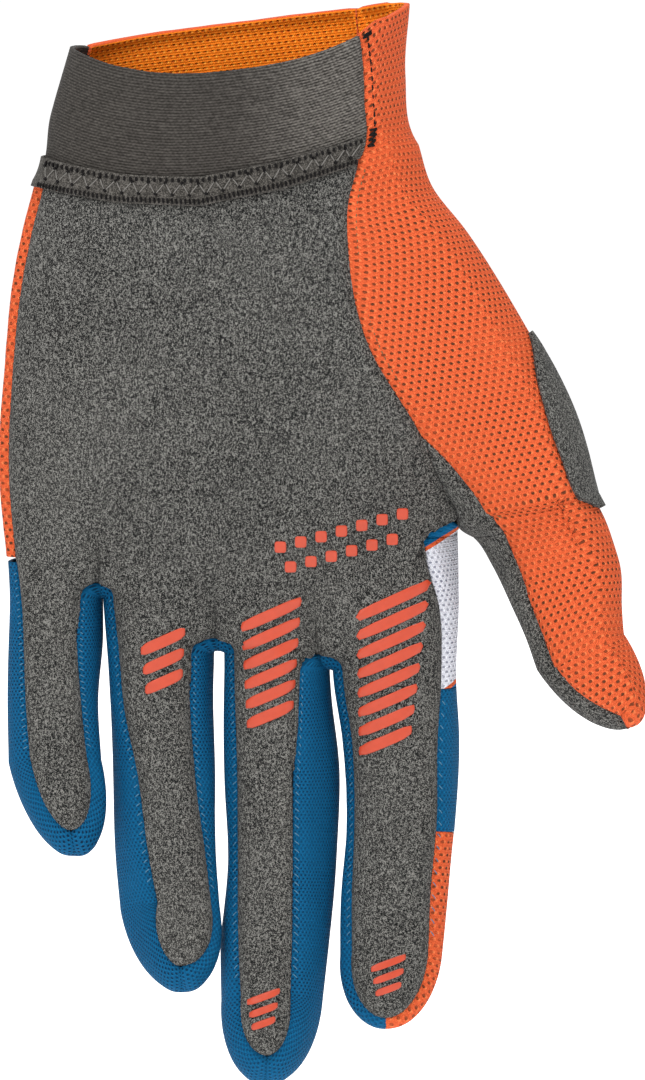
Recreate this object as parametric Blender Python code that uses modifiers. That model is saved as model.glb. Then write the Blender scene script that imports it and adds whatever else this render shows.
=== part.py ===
# Motocross glove for the left hand, in metres, +Z up.
# It hangs from its wrist opening with the fingers down and the palm facing -Y, and the thumb lies at +X.
# The skin is one set of surfaces. Each digit is a strip of the hand that runs from the rim of the cuff
# down to its own tip, and a ribbon follows the outline between the palm side and the back.

import math

import bmesh
import bpy
import numpy as np

# Main sizes of the hand
palm_breadth = 0.100
palm_length = 0.100
palm_depth = 0.033
knuckle_depth = 0.026
cuff_width = 0.0732
cuff_height = 0.034
cuff_depth = 0.041

# Rim of the cuff
rim_slant = 0.0093
rim_height = 0.0026
rim_front_dip = 0.0085

# Cloth
wall = 0.0012
seam_gap = 0.0004
thumb_seam_gap = 0.0009
overlay_gap = 0.0006
overlay_wall = 0.0009

# Between the digits
slit_half = 0.0011
slit_depth = 0.0030
crotch_half_depth = 0.0060
web_lip = 0.0005
thumb_forward = 0.0130

# Band over the elastic's lower edge
band_height = 0.0065

# How full the sections are: 2 is an ellipse and more is squarer
body_fullness = 2.3
digit_fullness = 2.2

# Rows and columns of the surfaces
columns = 4
ribbon_columns = 4
cuff_rows = np.linspace(-2.0, -1.0, 5)
hand_rows = np.linspace(-1.0, 0.0, 13)
arch_share = 0.12
digit_rows = np.concatenate([np.linspace(0.0, arch_share, 4), np.linspace(arch_share, 1.0, 8)[1:]])
cap_rows = np.linspace(1.0, 2.0, 5)
last_row_angle = math.radians(24)

# Lines that part the hand into strips. Rows run from the rim (-2) over the cuff's end (-1) to the forks (0).
# The columns are the outline at the little finger, the three forks between fingers, the thumb seam
# and the outline at the thumb. Cuff rows are shares of cuff_width and hand rows of palm_breadth.
cuff_lines = (
    # row, left, little_ring, ring_middle, middle_index, thumb_seam, right
    (-2.000, -0.485, -0.273, -0.063, 0.152, 0.363, 0.515),
    (-1.500, -0.544, -0.307, -0.082, 0.150, 0.376, 0.507),
    (-1.000, -0.586, -0.343, -0.104, 0.143, 0.363, 0.545),
)
hand_lines = (
    (-0.875, -0.456, -0.260, -0.074, 0.112, 0.243, 0.429),
    (-0.750, -0.477, -0.270, -0.070, 0.120, 0.245, 0.504),
    (-0.500, -0.500, -0.286, -0.057, 0.140, 0.287, 0.622),
    (-0.250, -0.510, -0.292, -0.046, 0.162, 0.401, 0.722),
    (0.000, -0.495, -0.294, -0.039, 0.181, 0.490, 0.778),
)
# The web between index finger and thumb is a plain notch, where the other forks are narrow slits
web_line = 4
# Height of each line at the cuff's end, as shares of cuff_height, and at the forks, as shares of palm_length
cuff_end_drop = (0.91, 0.985, 1.00, 0.89, 0.75, 0.69)
fork_drop = (0.794, 0.844, 0.964, 1.000, 0.702, 0.645)

# Each digit's lengths. The sections are shares: along is of its length, the others are of its breadth.
# across is the root's place as a share of palm_breadth, and root is its height as a share of palm_length.
# cap holds where the rounded end starts at each side, and tip how far its point lies aside and down.
digits = (
    dict(
        name="little", length=0.0584, breadth=0.0205, depth=0.0180, bend=0.014,
        across=-0.392, root=0.844, cap=(0.66, 0.66), tip=(0.22, 0.34), tip_seam=0.81, sides=(None, 1),
        sections=(
            # along, centre, breadth, left_gusset, right_gusset
            (-0.09, 0.010, 0.99, 0.06, 0.20),
            (0.06, 0.010, 0.98, 0.10, 0.20),
            (0.21, 0.003, 1.00, 0.14, 0.22),
            (0.44, -0.023, 0.97, 0.17, 0.15),
            (0.66, 0.000, 0.98, 0.20, 0.11),
        ),
    ),
    dict(
        name="ring", length=0.0756, breadth=0.0222, depth=0.0196, bend=0.018,
        across=-0.158, root=0.964, cap=(0.77, 0.77), tip=(0.13, 0.23), tip_seam=0.79, sides=(1, 2),
        sections=(
            (-0.11, -0.030, 1.07, 0.06, 0.20),
            (0.06, -0.010, 1.05, 0.09, 0.20),
            (0.18, -0.010, 1.02, 0.11, 0.19),
            (0.41, 0.012, 0.99, 0.22, 0.15),
            (0.64, 0.036, 0.97, 0.29, 0.06),
            (0.77, 0.075, 0.96, 0.33, 0.04),
        ),
    ),
    dict(
        name="middle", length=0.0923, breadth=0.0235, depth=0.0208, bend=0.017,
        across=0.095, root=1.000, cap=(0.81, 0.81), tip=(-0.055, 0.19), tip_seam=0.74, sides=(2, 3),
        sections=(
            (-0.03, -0.020, 0.96, 0.06, 0.25),
            (0.11, -0.015, 0.99, 0.08, 0.28),
            (0.29, 0.030, 1.04, 0.08, 0.38),
            (0.48, 0.035, 1.00, 0.06, 0.37),
            (0.67, -0.035, 0.99, 0.13, 0.30),
            (0.81, -0.060, 0.93, 0.15, 0.26),
        ),
    ),
    dict(
        name="index", length=0.0807, breadth=0.0240, depth=0.0212, bend=0.013,
        across=0.350, root=1.000, cap=(0.81, 0.81), tip=(-0.055, 0.19), tip_seam=0.93, sides=(3, 4),
        sections=(
            (-0.37, 0.000, 1.10, 0.04, 0.10),
            (-0.15, 0.000, 1.15, 0.05, 0.14),
            (0.07, 0.005, 1.11, 0.05, 0.12),
            (0.23, 0.060, 1.05, 0.04, 0.18),
            (0.45, 0.060, 0.98, 0.03, 0.15),
            (0.65, -0.005, 0.96, 0.06, 0.13),
            (0.81, -0.035, 0.90, 0.06, 0.09),
        ),
    ),
    dict(
        name="thumb", length=0.0475, breadth=0.0230, depth=0.0215, bend=0.004,
        across=0.720, root=0.702, cap=(0.65, 0.50), tip=(0.44, 0.35), tip_seam=0.90, sides=(4, None),
        sections=(
            (-0.12, -0.445, 1.39, 0.04, 0.25),
            (0.00, -0.325, 1.40, 0.04, 0.25),
            (0.10, -0.185, 1.27, 0.05, 0.22),
            (0.19, -0.100, 1.21, 0.06, 0.20),
            (0.38, 0.004, 1.02, 0.07, 0.18),
            (0.50, 0.071, 0.92, 0.07, 0.17),
            (0.65, 0.160, 0.88, 0.08, 0.17),
        ),
    ),
)
# On the back the seams lie further round than on the palm side, as a share of the digit's breadth
back_gusset = 0.13
back_tip_seam = 0.80

# Where the grey of the palm ends on the thumb: row, share of the thumb strip's breadth
thumb_seam = ((-0.25, 0.0), (-0.125, 0.17), (0.0, 0.25), (0.2, 0.18), (0.5, 0.10), (1.0, 0.06),
              (1.5, 0.12), (1.75, 0.25), (2.0, 0.50))

# Where the colours change down the index finger's outer side, as rows
white_start = 0.065
white_end = 0.42
blue_end = digit_rows[8]

# The patch on the thumb's outer side: row, and where it starts and ends from the palm side (0) to the back (1)
patch = ((-0.47, 0.42, 0.52), (-0.38, 0.16, 0.80), (-0.26, 0.02, 0.93), (-0.12, 0.02, 0.95),
         (0.00, 0.12, 0.86), (0.08, 0.38, 0.60))

colours = {
    "grey_suede": ((0.115, 0.112, 0.108), 0.92),
    "orange_mesh": ((0.72, 0.13, 0.035), 0.75),
    "blue_mesh": ((0.008, 0.11, 0.27), 0.80),
    "white_mesh": ((0.72, 0.73, 0.78), 0.75),
    "elastic": ((0.075, 0.070, 0.066), 0.85),
    "band": ((0.060, 0.056, 0.053), 0.80),
}


def smooth(at, knots, values):
    """A smooth curve through the table's points: cubic pieces whose slopes come from their neighbours."""
    knots = np.asarray(knots, float)
    values = np.asarray(values, float)
    slopes = np.gradient(values, knots)
    at = np.clip(at, knots[0], knots[-1])
    low = np.clip(np.searchsorted(knots, at, side="right") - 1, 0, len(knots) - 2)
    span = knots[low + 1] - knots[low]
    t = (at - knots[low]) / span
    start = (2 * t**3 - 3 * t**2 + 1) * values[low] + (t**3 - 2 * t**2 + t) * span * slopes[low]
    end = (3 * t**2 - 2 * t**3) * values[low + 1] + (t**3 - t**2) * span * slopes[low + 1]
    return start + end


def ease(t):
    t = np.clip(t, 0.0, 1.0)
    return t * t * (3 - 2 * t)


def mix(a, b, t):
    return a + (b - a) * t


def bulge(w, fullness):
    """Height of a rounded section at w, where -1 and 1 are its edges and the middle is 1 high."""
    return (1 - np.clip(np.abs(w), 0, 1) ** fullness) ** (1 / fullness)


def line_across(line, row, inset):
    """X of a strip line at a row. The two outlines move in by inset."""
    rows = [section[0] for section in cuff_lines + hand_lines]
    across = [section[line + 1] * cuff_width for section in cuff_lines]
    across += [section[line + 1] * palm_breadth for section in hand_lines]
    x = smooth(row, rows, across)
    if line == 0:
        x = x + inset
    if line == 5:
        x = x - inset
    return x


def line_height(line, row):
    """Z of a strip line at a row."""
    rim = rim_height + rim_slant * cuff_lines[0][line + 1]
    cuff_end = -cuff_height * cuff_end_drop[line]
    fork = -cuff_height - palm_length * fork_drop[line]
    return np.where(row < -1, mix(rim, cuff_end, row + 2), mix(cuff_end, fork, row + 1))


def root_height(digit):
    return -cuff_height - palm_length * digit["root"]


def section_value(digit, z, column):
    along = (root_height(digit) - z) / digit["length"]
    table = digit["sections"]
    return smooth(along, [section[0] for section in table], [section[column] for section in table])


def edge(digit, side, z, inset, gusset):
    """X of a digit's outline at height z, or of its seam where gusset is 1."""
    sign = 1 if side else -1
    centre = palm_breadth * digit["across"] + digit["breadth"] * section_value(digit, z, 1)
    half = digit["breadth"] * section_value(digit, z, 2) / 2 - inset
    return centre + sign * (half - gusset)


def palm_gusset(digit, side, z):
    return digit["breadth"] * section_value(digit, z, 3 + side)


def cap_height(digit, side):
    return root_height(digit) - digit["cap"][side] * digit["length"]


def side_point(digit, side, row, inset, gusset_at):
    """X and Z down one side of a digit, on its outline, or on the seam that gusset_at places."""
    fork = digit["sides"][side]
    end = cap_height(digit, side)
    if fork is None:
        line = 5 if side else 0
        z = mix(line_height(line, 0.0), end, np.clip(row, 0, 1))
        return edge(digit, side, z, inset, gusset_at(z)), z
    top_x = line_across(fork, 0.0, 0.0)
    top = line_height(fork, 0.0) + inset
    angle = np.clip(row / arch_share, 0, 1) * math.pi / 2
    down = np.clip((row - arch_share) / (1 - arch_share), 0, 1)
    reach = slit_depth + slit_half
    drop = reach * (1 - np.cos(angle))
    if gusset_at is no_gusset:
        lip, turned = (web_lip, np.sin(angle)) if fork == web_line else (slit_depth, 1 - np.cos(angle))
        drop = lip + (reach - lip) * turned
    z = top - drop + (end - top + reach) * down
    return top_x + (edge(digit, side, z, inset, gusset_at(z)) - top_x) * np.sin(angle), z


def no_gusset(z):
    return np.zeros_like(np.asarray(z, float))


def gusset_of(digit, side, back):
    if back:
        return lambda z: np.full_like(np.asarray(z, float), back_gusset * digit["breadth"])
    return lambda z: palm_gusset(digit, side, z)


def seam_share(digit, side, z, back, inset):
    """Share of the half breadth that lies inside the seam."""
    half = digit["breadth"] * section_value(digit, z, 2) / 2 - inset
    return 1 - gusset_of(digit, side, back)(z) / half


def hold_back(digit, back, inset):
    """Shares that lie inside the seam at the rounded end: left, tip and right."""
    left, right = (float(seam_share(digit, side, cap_height(digit, side), back, inset)) for side in (0, 1))
    return left, back_tip_seam if back else digit["tip_seam"], right


def fork_share(digit, depth):
    """Where across its section a digit's surface is as high as the edge of the forks."""
    return (1 - min(crotch_half_depth / depth, 0.999) ** digit_fullness) ** (1 / digit_fullness)


def digit_frame(digit, inset):
    """Centre, half breadth and tip of the rounded end, as X and Z."""
    left = np.array(side_point(digit, 0, 1.0, inset, no_gusset), float)
    right = np.array(side_point(digit, 1, 1.0, inset, no_gusset), float)
    centre = (left + right) / 2
    reach = digit["tip"][1] * digit["length"] - inset
    return centre, (right - left) / 2, np.array([digit["tip"][0] * digit["breadth"], -reach])


def middle_of(digit, x, z):
    """Y and slope of the sheet halfway between palm and back. Fingers bend towards the palm."""
    lowest = min(line_height(fork, 0.0) for fork in digit["sides"] if fork is not None)
    if digit["name"] == "thumb":
        lowest = line_height(4, 0.0)
    along = np.clip((lowest - slit_depth - z) / digit["length"], 0, None)
    return -digit["bend"] * along**2, 2 * digit["bend"] * along / digit["length"]


def thumb_lean(row, s):
    """How far the thumb's sheet stands in front of the palm's."""
    at_left = thumb_forward * ease(row)
    at_right = thumb_forward * (0.75 * ease(row + 1) + 0.55 * ease(row))
    return mix(at_left, at_right, s)


def placed(number, row, s, x, z, height, front):
    """A point of the skin from its place in the outline's plane and its height over the middle sheet."""
    digit = digits[number]
    y, slope = middle_of(digit, x, z)
    if number == 4:
        y = y - thumb_lean(row, s)
    length = np.sqrt(1 + slope**2)
    side = 1 if front else -1
    return np.stack([x, y - side * height / length, z + side * height * slope / length], axis=-1)


def half_depth(row, front, inset):
    """Half the thickness of the hand at a row."""
    depth = smooth(row, (-2, -1, -0.4, 0), (cuff_depth, 0.93 * cuff_depth, palm_depth, knuckle_depth))
    return depth / 2 - inset


def digit_depth(digit, row, inset):
    root = mix(knuckle_depth, digit["depth"], 0.6)
    return mix(root, 0.88 * digit["depth"], np.clip(row, 0, 1)) / 2 - inset


def root_shares(digit, front, inset):
    """Section places of the two seams at the forks."""
    depth = float(digit_depth(digit, 0.0, inset))
    shares = []
    for side in (0, 1):
        if digit["sides"][side] is not None:
            shares.append(fork_share(digit, depth))
            continue
        z = line_height(5 if side else 0, 0.0)
        shares.append(float(seam_share(digit, side, z, not front, inset)))
    return shares


def edge_inset(number, side, front):
    """How far the seam along the hand's own outline lies inside it."""
    digit = digits[number]
    if digit["sides"][side] is not None:
        return 0.0
    return float(gusset_of(digit, side, not front)(line_height(5 if side else 0, 0.0)))


def level_share(number, row, s):
    """Share of the height from one fork to the next: level beside each fork, so that the cloth lies flat."""
    if number == 4:
        return s
    return mix(s, ease(s), ease(1 - np.abs(row)))


def hand_skin(number, row, s, front, inset):
    """The skin between the rim and the forks."""
    digit = digits[number]
    left = line_across(0, row, inset)
    right = line_across(5, row, inset)
    x0 = line_across(number, row, inset) + edge_inset(number, 0, front)
    x1 = line_across(number + 1, row, inset) - edge_inset(number, 1, front)
    x = mix(x0, x1, s)
    z = mix(line_height(number, row), line_height(number + 1, row), level_share(number, row, s))
    z = z + inset * ease(8 * row + 1)
    across = 2 * (x - left) / (right - left) - 1
    if front:
        z = z - rim_front_dip * (1 - np.abs(across) ** 2.5) * np.clip(-1 - row, 0, 1)
    body = half_depth(row, front, inset) * bulge(across, body_fullness)
    low, high = root_shares(digit, front, inset)
    own = digit_depth(digit, 0.0, inset) * bulge(mix(-low, high, s), digit_fullness)
    start = -0.35 if front else -0.5
    height = mix(body, own, ease((row - start) / -start) ** 1.6)
    y = -thumb_lean(row, s) if number == 4 else 0 * x
    return np.stack([x, y - height if front else y + height, z], axis=-1)


def digit_skin(number, row, s, front, inset):
    """The skin of a digit, from the forks to the last row before its tip."""
    digit = digits[number]
    straight = np.minimum(row, 1.0)
    x0, z0 = side_point(digit, 0, straight, inset, gusset_of(digit, 0, not front))
    x1, z1 = side_point(digit, 1, straight, inset, gusset_of(digit, 1, not front))
    angle = np.clip(straight / arch_share, 0, 1) * math.pi / 2
    low, high = root_shares(digit, front, inset)
    ends = []
    for side, start in ((0, low), (1, high)):
        seam = seam_share(digit, side, (z0, z1)[side], not front, inset)
        ends.append(mix(start, seam, np.sin(angle)))
    w = mix(-ends[0], ends[1], s)
    x = mix(x0, x1, s)
    z = mix(z0, z1, level_share(number, row, s))
    height = digit_depth(digit, straight, inset) * bulge(w, digit_fullness)

    seams = hold_back(digit, not front, inset)
    centre, half_breadth, tip = digit_frame(digit, inset)
    turn = mix(math.pi / 2, last_row_angle, np.clip(row - 1, 0, 1))
    reach = [mix(seams[1], seams[2 * side], np.sin(turn) ** 2) for side in (0, 1)]
    a = mix(-reach[0] * np.sin(turn), reach[1] * np.sin(turn), s)
    b = mix(reach[0] * np.cos(turn), reach[1] * np.cos(turn), s)
    in_cap = row > 1
    x = np.where(in_cap, centre[0] + half_breadth[0] * a + tip[0] * b, x)
    z = np.where(in_cap, centre[1] + half_breadth[1] * a + tip[1] * b, z)
    cap_rise = digit_depth(digit, 1.0, inset) * bulge(np.hypot(a, b), digit_fullness)
    height = np.where(in_cap, cap_rise, height)
    return placed(number, row, s, x, z, height, front)


def skin(number, row, s, front=True, inset=wall):
    """Point of a digit's strip: row runs from the rim (-2) to the tip (2), s from its left to its right."""
    row, s = np.broadcast_arrays(np.asarray(row, float), np.asarray(s, float))
    above = hand_skin(number, np.minimum(row, 0.0), s, front, inset)
    below = digit_skin(number, np.maximum(row, 0.0), s, front, inset)
    return np.where((row > 0)[..., None], below, above)


def outline(number, row, s, inset=wall):
    """Point halfway round between the palm side and the back, for the place (row, s) on a strip's edge."""
    digit = digits[number]
    side = 1 if s > 0.5 else 0
    if row <= 0 and digit["sides"][side] is None:
        line = 5 if side else 0
        x = line_across(line, row, inset)
        z = line_height(line, row) + inset * ease(8 * row + 1)
        y = -thumb_lean(row, s) if number == 4 else 0.0
        return np.array([float(x), float(y), float(z)])
    if row <= 1:
        x, z = side_point(digit, side, row, inset, no_gusset)
    else:
        seams = hold_back(digit, False, inset)
        centre, half_breadth, tip = digit_frame(digit, inset)
        turn = mix(math.pi / 2, last_row_angle, min(row - 1, 1.0))
        reach = [mix(seams[1], seams[2 * end], math.sin(turn) ** 2) for end in (0, 1)]
        a = mix(-reach[0] * math.sin(turn), reach[1] * math.sin(turn), s)
        b = mix(reach[0] * math.cos(turn), reach[1] * math.cos(turn), s)
        round_to = math.atan2(a, b)
        x = centre[0] + half_breadth[0] * math.sin(round_to) + tip[0] * math.cos(round_to)
        z = centre[1] + half_breadth[1] * math.sin(round_to) + tip[1] * math.cos(round_to)
    return placed(number, float(row), s, np.asarray(float(x)), np.asarray(float(z)), 0.0, True)


def strip_grid(number, rows, start, end, count, front, inset=wall):
    """Grid over part of a strip. start and end are its limits across, as a number or one for each row."""
    rows = np.asarray(rows, float)
    steps = np.linspace(0, 1, count + 1)
    start = np.broadcast_to(start, rows.shape)
    end = np.broadcast_to(end, rows.shape)
    across = start[:, None] + (end - start)[:, None] * steps[None, :]
    points = skin(number, rows[:, None], across, front, inset)
    return points, front


def fork_gap(row):
    """How many times wider a seam's gap is at the forks, where the cloth turns inwards."""
    return 1 + 1.5 * np.clip(1 - abs(row) / arch_share, 0, 1)


def ribbon_grid(path, front_gap, back_gap, inset=wall, limits=None):
    """Grid along the outline. path lists (digit, row, s), and the gaps keep it clear of the seams."""
    grid = []
    for place, (number, row, s) in enumerate(path):
        first = skin(number, row, s, True, inset)
        last = skin(number, row, s, False, inset)
        middle = outline(number, row, s, inset)
        handle = 2 * middle - (first + last) / 2
        arc = np.linalg.norm(first - middle) + np.linalg.norm(last - middle)
        low, high = front_gap * fork_gap(row) / arc, 1 - back_gap * fork_gap(row) / arc
        if limits is not None:
            low, high = limits[place]
        t = np.linspace(low, high, ribbon_columns + 1)[:, None]
        grid.append((1 - t) ** 2 * first + 2 * t * (1 - t) * handle + t**2 * last)
    return np.array(grid), False


def solid(name, material, grids, collection, thickness=wall):
    """Joins the grids where they meet, and gives the sheet its thickness on the outer side."""
    mesh = bmesh.new()
    for points, reverse in grids:
        high, wide = points.shape[:2]
        made = [[mesh.verts.new(points[i, j]) for j in range(wide)] for i in range(high)]
        for i in range(high - 1):
            for j in range(wide - 1):
                ring = [made[i][j], made[i][j + 1], made[i + 1][j + 1], made[i + 1][j]]
                mesh.faces.new(ring[::-1] if reverse else ring)
    bmesh.ops.remove_doubles(mesh, verts=mesh.verts, dist=2e-6)
    data = bpy.data.meshes.new(name)
    mesh.to_mesh(data)
    mesh.free()
    data.materials.append(material)
    made = bpy.data.objects.new(name, data)
    collection.objects.link(made)
    cloth = made.modifiers.new("Cloth", "SOLIDIFY")
    cloth.thickness = thickness
    cloth.offset = 1.0
    return made


def material_of(name):
    colour, roughness = colours[name]
    made = bpy.data.materials.new(name)
    made.use_nodes = True
    shader = made.node_tree.nodes["Principled BSDF"]
    shader.inputs["Base Color"].default_value = (*colour, 1.0)
    shader.inputs["Roughness"].default_value = roughness
    shader.inputs["Metallic"].default_value = 0.0
    return made


whole_digit = np.concatenate([digit_rows, cap_rows[1:]])
from_cuff_end = np.concatenate([hand_rows, whole_digit[1:]])
from_rim = np.concatenate([cuff_rows, from_cuff_end[1:]])


def thumb_seam_shares(rows):
    """How much of the thumb strip's breadth is the palm's grey, from its left edge."""
    seam_rows, shares = zip(*thumb_seam)
    return np.where(rows < seam_rows[0], 0, smooth(rows, seam_rows, shares))


def breadth_at(number, rows):
    return np.linalg.norm(skin(number, rows, 1.0) - skin(number, rows, 0.0), axis=-1)


def down_side(number, side, rows, clear=True):
    """Path down one side of a digit and over half its tip. If clear, it ends half a gap short of the middle."""
    half_gap = 0.5 * seam_gap / breadth_at(number, np.array([2.0]))[0] if clear else 0
    over_tip = [step / columns for step in range(1, columns // 2)] + [0.5 - half_gap]
    return [(number, row, float(side)) for row in rows] + [(number, 2.0, abs(side - s)) for s in over_tip]


def palm_panel(collection, material):
    """The palm with the palm sides of the fingers, and the web that goes round the thumb's inner side."""
    grids = [strip_grid(number, from_cuff_end, 0, 1, columns, True) for number in range(4)]
    rows = from_cuff_end[from_cuff_end >= thumb_seam[0][0] - 1e-6]
    grids.append(strip_grid(4, rows, 0, thumb_seam_shares(rows), 2, True))
    grids.append(ribbon_grid(down_side(4, 0, whole_digit, clear=False), 0, seam_gap))
    return solid("palm_panel", material, grids, collection)


def thumb_panel(collection, material):
    """The mesh from the cuff's folded end down round the thumb, open where the palm's web closes it."""
    gap = thumb_seam_gap / breadth_at(4, from_rim)
    grids = [
        strip_grid(4, from_rim, thumb_seam_shares(from_rim) + gap, 1, columns, True),
        strip_grid(4, from_rim, np.where(from_rim <= 0, gap, 0), 1, columns, False),
    ]
    back_end = [(4, 2.0, 0.5 + gap[-1] + (0.5 - gap[-1]) * step / columns) for step in range(columns)]
    side = [(4, row, 1.0) for row in from_rim[::-1]]
    grids.append(ribbon_grid(back_end + side, 0, 0))
    return solid("thumb_panel", material, grids, collection)


def back_panel(collection, material):
    """The back of the hand and of the fingers, round the palm's edge to the seam at the little finger."""
    grids = [strip_grid(number, from_rim, 0, 1, columns, False) for number in range(4)]
    grids.append(ribbon_grid([(0, row, 0.0) for row in hand_rows], seam_gap, 0))
    rows = whole_digit[whole_digit >= blue_end]
    grids.append(ribbon_grid(down_side(3, 1, rows)[::-1], seam_gap, 0))
    return solid("back_panel", material, grids, collection)


def fork(name, left_digit, collection, material):
    """One ribbon from the tip of a finger up round the fork and down to the tip of the next."""
    up = down_side(left_digit, 1, whole_digit)[::-1]
    down = down_side(left_digit + 1, 0, whole_digit[1:])
    return solid(name, material, [ribbon_grid(up + down, seam_gap, seam_gap)], collection)


def side_strip(name, number, side, rows, collection, material, to_tip=False):
    """A ribbon down the outer side of a digit."""
    path = down_side(number, side, rows) if to_tip else [(number, row, float(side)) for row in rows]
    if side:
        path = path[::-1]
    return solid(name, material, [ribbon_grid(path, seam_gap, seam_gap)], collection)


def rows_between(start, end, count):
    """Rows from start to end, short of each by half a gap."""
    half_gap = 0.5 * seam_gap / digits[3]["length"]
    return np.linspace(start + half_gap, end - half_gap, count)


def cuff_elastic(collection, material):
    """The woven elastic on the palm side of the wrist."""
    rows = cuff_rows.copy()
    rows[-1] -= seam_gap / cuff_height
    grids = [strip_grid(number, rows, 0, 1, columns, True) for number in range(4)]
    grids.append(ribbon_grid([(0, row, 0.0) for row in rows], 0, seam_gap))
    return solid("cuff_elastic", material, grids, collection)


def cuff_band(collection, material):
    """The stitched band that covers the join between elastic and palm."""
    rows = np.linspace(-1 - band_height / cuff_height, -0.99, 3)
    over = -overlay_gap
    end = 1 - seam_gap / breadth_at(3, rows)
    grids = [strip_grid(number, rows, 0, 1, columns, True, over) for number in range(3)]
    grids.append(strip_grid(3, rows, 0, end, columns, True, over))
    grids.append(ribbon_grid([(0, row, 0.0) for row in rows], 0, seam_gap, over))
    return solid("cuff_band", material, grids, collection, overlay_wall)


def thumb_patch(collection, material):
    """The hard-wearing patch sewn over the thumb's outer side."""
    knots, starts, ends = zip(*patch)
    rows = np.linspace(knots[0], knots[-1], 9)
    limits = np.stack([smooth(rows, knots, starts), smooth(rows, knots, ends)], axis=1)
    path = [(4, row, 1.0) for row in rows]
    grid, _ = ribbon_grid(path, 0, 0, -overlay_gap, limits)
    return solid("thumb_patch", material, [(grid[::-1], False)], collection, overlay_wall)


def build():
    for old in list(bpy.data.objects):
        bpy.data.objects.remove(old, do_unlink=True)
    collection = bpy.data.collections.new("motocross_glove")
    bpy.context.scene.collection.children.link(collection)
    paint = {name: material_of(name) for name in colours}
    palm_panel(collection, paint["grey_suede"])
    thumb_panel(collection, paint["orange_mesh"])
    back_panel(collection, paint["orange_mesh"])
    cuff_elastic(collection, paint["elastic"])
    cuff_band(collection, paint["band"])
    thumb_patch(collection, paint["grey_suede"])
    rows = np.concatenate([[seam_gap / digits[0]["length"]], whole_digit[1:]])
    side_strip("little_side", 0, 0, rows, collection, paint["blue_mesh"], to_tip=True)
    fork("fork_little_ring", 0, collection, paint["blue_mesh"])
    fork("fork_ring_middle", 1, collection, paint["blue_mesh"])
    fork("fork_middle_index", 2, collection, paint["blue_mesh"])
    side_strip("index_side_white", 3, 1, rows_between(white_start, white_end, 8), collection, paint["white_mesh"])
    side_strip("index_side_blue", 3, 1, rows_between(white_end, blue_end, 6), collection, paint["blue_mesh"])


build()
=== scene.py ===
# Looks of a motocross glove for the left hand, held up by its wrist as when it is worn.
import math

import bmesh
import bpy
import numpy as np
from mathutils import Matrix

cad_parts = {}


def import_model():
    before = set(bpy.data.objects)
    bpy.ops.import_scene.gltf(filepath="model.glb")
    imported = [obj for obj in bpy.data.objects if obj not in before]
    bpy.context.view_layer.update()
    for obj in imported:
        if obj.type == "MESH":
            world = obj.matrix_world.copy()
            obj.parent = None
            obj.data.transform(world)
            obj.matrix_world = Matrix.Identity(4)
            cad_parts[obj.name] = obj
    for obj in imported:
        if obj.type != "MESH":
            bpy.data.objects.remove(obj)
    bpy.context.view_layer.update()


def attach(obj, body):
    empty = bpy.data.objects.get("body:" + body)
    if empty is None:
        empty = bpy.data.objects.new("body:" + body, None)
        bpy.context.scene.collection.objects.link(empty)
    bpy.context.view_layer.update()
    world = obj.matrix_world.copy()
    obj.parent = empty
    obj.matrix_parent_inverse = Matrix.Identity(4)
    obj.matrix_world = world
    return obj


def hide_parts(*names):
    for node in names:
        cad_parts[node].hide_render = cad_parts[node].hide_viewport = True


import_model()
print("frame loaded")

# The hand, in metres. Rows run from the rim (-2) over the cuff's end (-1) and the forks (0) to where
# the tips start (1) and over them (2).
hand = {
    "palmBreadth": 0.100, "palmLength": 0.100, "palmDepth": 0.033, "knuckleDepth": 0.026,
    "cuffWidth": 0.0732, "cuffHeight": 0.034, "cuffDepth": 0.041,
    "rimSlant": 0.0093, "rimHeight": 0.0026, "rimFrontDip": 0.0085,
    "wall": 0.0012, "seamGap": 0.0004, "thumbSeamGap": 0.0003, "overlayGap": 0.0006,
    "slitHalf": 0.0011, "slitDepth": 0.0030, "crotchHalfDepth": 0.0060, "webLip": 0.0005,
    "thumbForward": 0.0130, "bandHeight": 0.0065, "bodyFullness": 2.3, "digitFullness": 2.2,
    "archShare": 0.12, "frontTurns": -0.35, "backTurns": -0.50, "turnPower": 1.6, "dipPower": 2.5,
    "edgeReach": 0.45,
    "backGusset": 0.13, "backTipSeam": 0.80, "lastRowAngle": math.radians(3),
}
wall = hand["wall"]
gap = hand["seamGap"]

# Shares of the cuff's width and of the palm's breadth:
# row, left outline, three forks, thumb seam, right outline
cuffLines = (
    (-2.000, -0.485, -0.273, -0.063, 0.152, 0.363, 0.515),
    (-1.500, -0.544, -0.307, -0.082, 0.150, 0.376, 0.507),
    (-1.000, -0.586, -0.343, -0.104, 0.143, 0.363, 0.545),
)
handLines = (
    (-0.875, -0.456, -0.260, -0.074, 0.112, 0.243, 0.429),
    (-0.750, -0.477, -0.270, -0.070, 0.120, 0.245, 0.504),
    (-0.500, -0.500, -0.286, -0.057, 0.140, 0.287, 0.622),
    (-0.250, -0.510, -0.292, -0.046, 0.162, 0.401, 0.722),
    (0.000, -0.495, -0.294, -0.039, 0.181, 0.490, 0.778),
)
webLine = 4
cuffEndDrop = (0.91, 0.985, 1.00, 0.89, 0.75, 0.69)
forkDrop = (0.794, 0.844, 0.964, 1.000, 0.702, 0.645)

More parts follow.
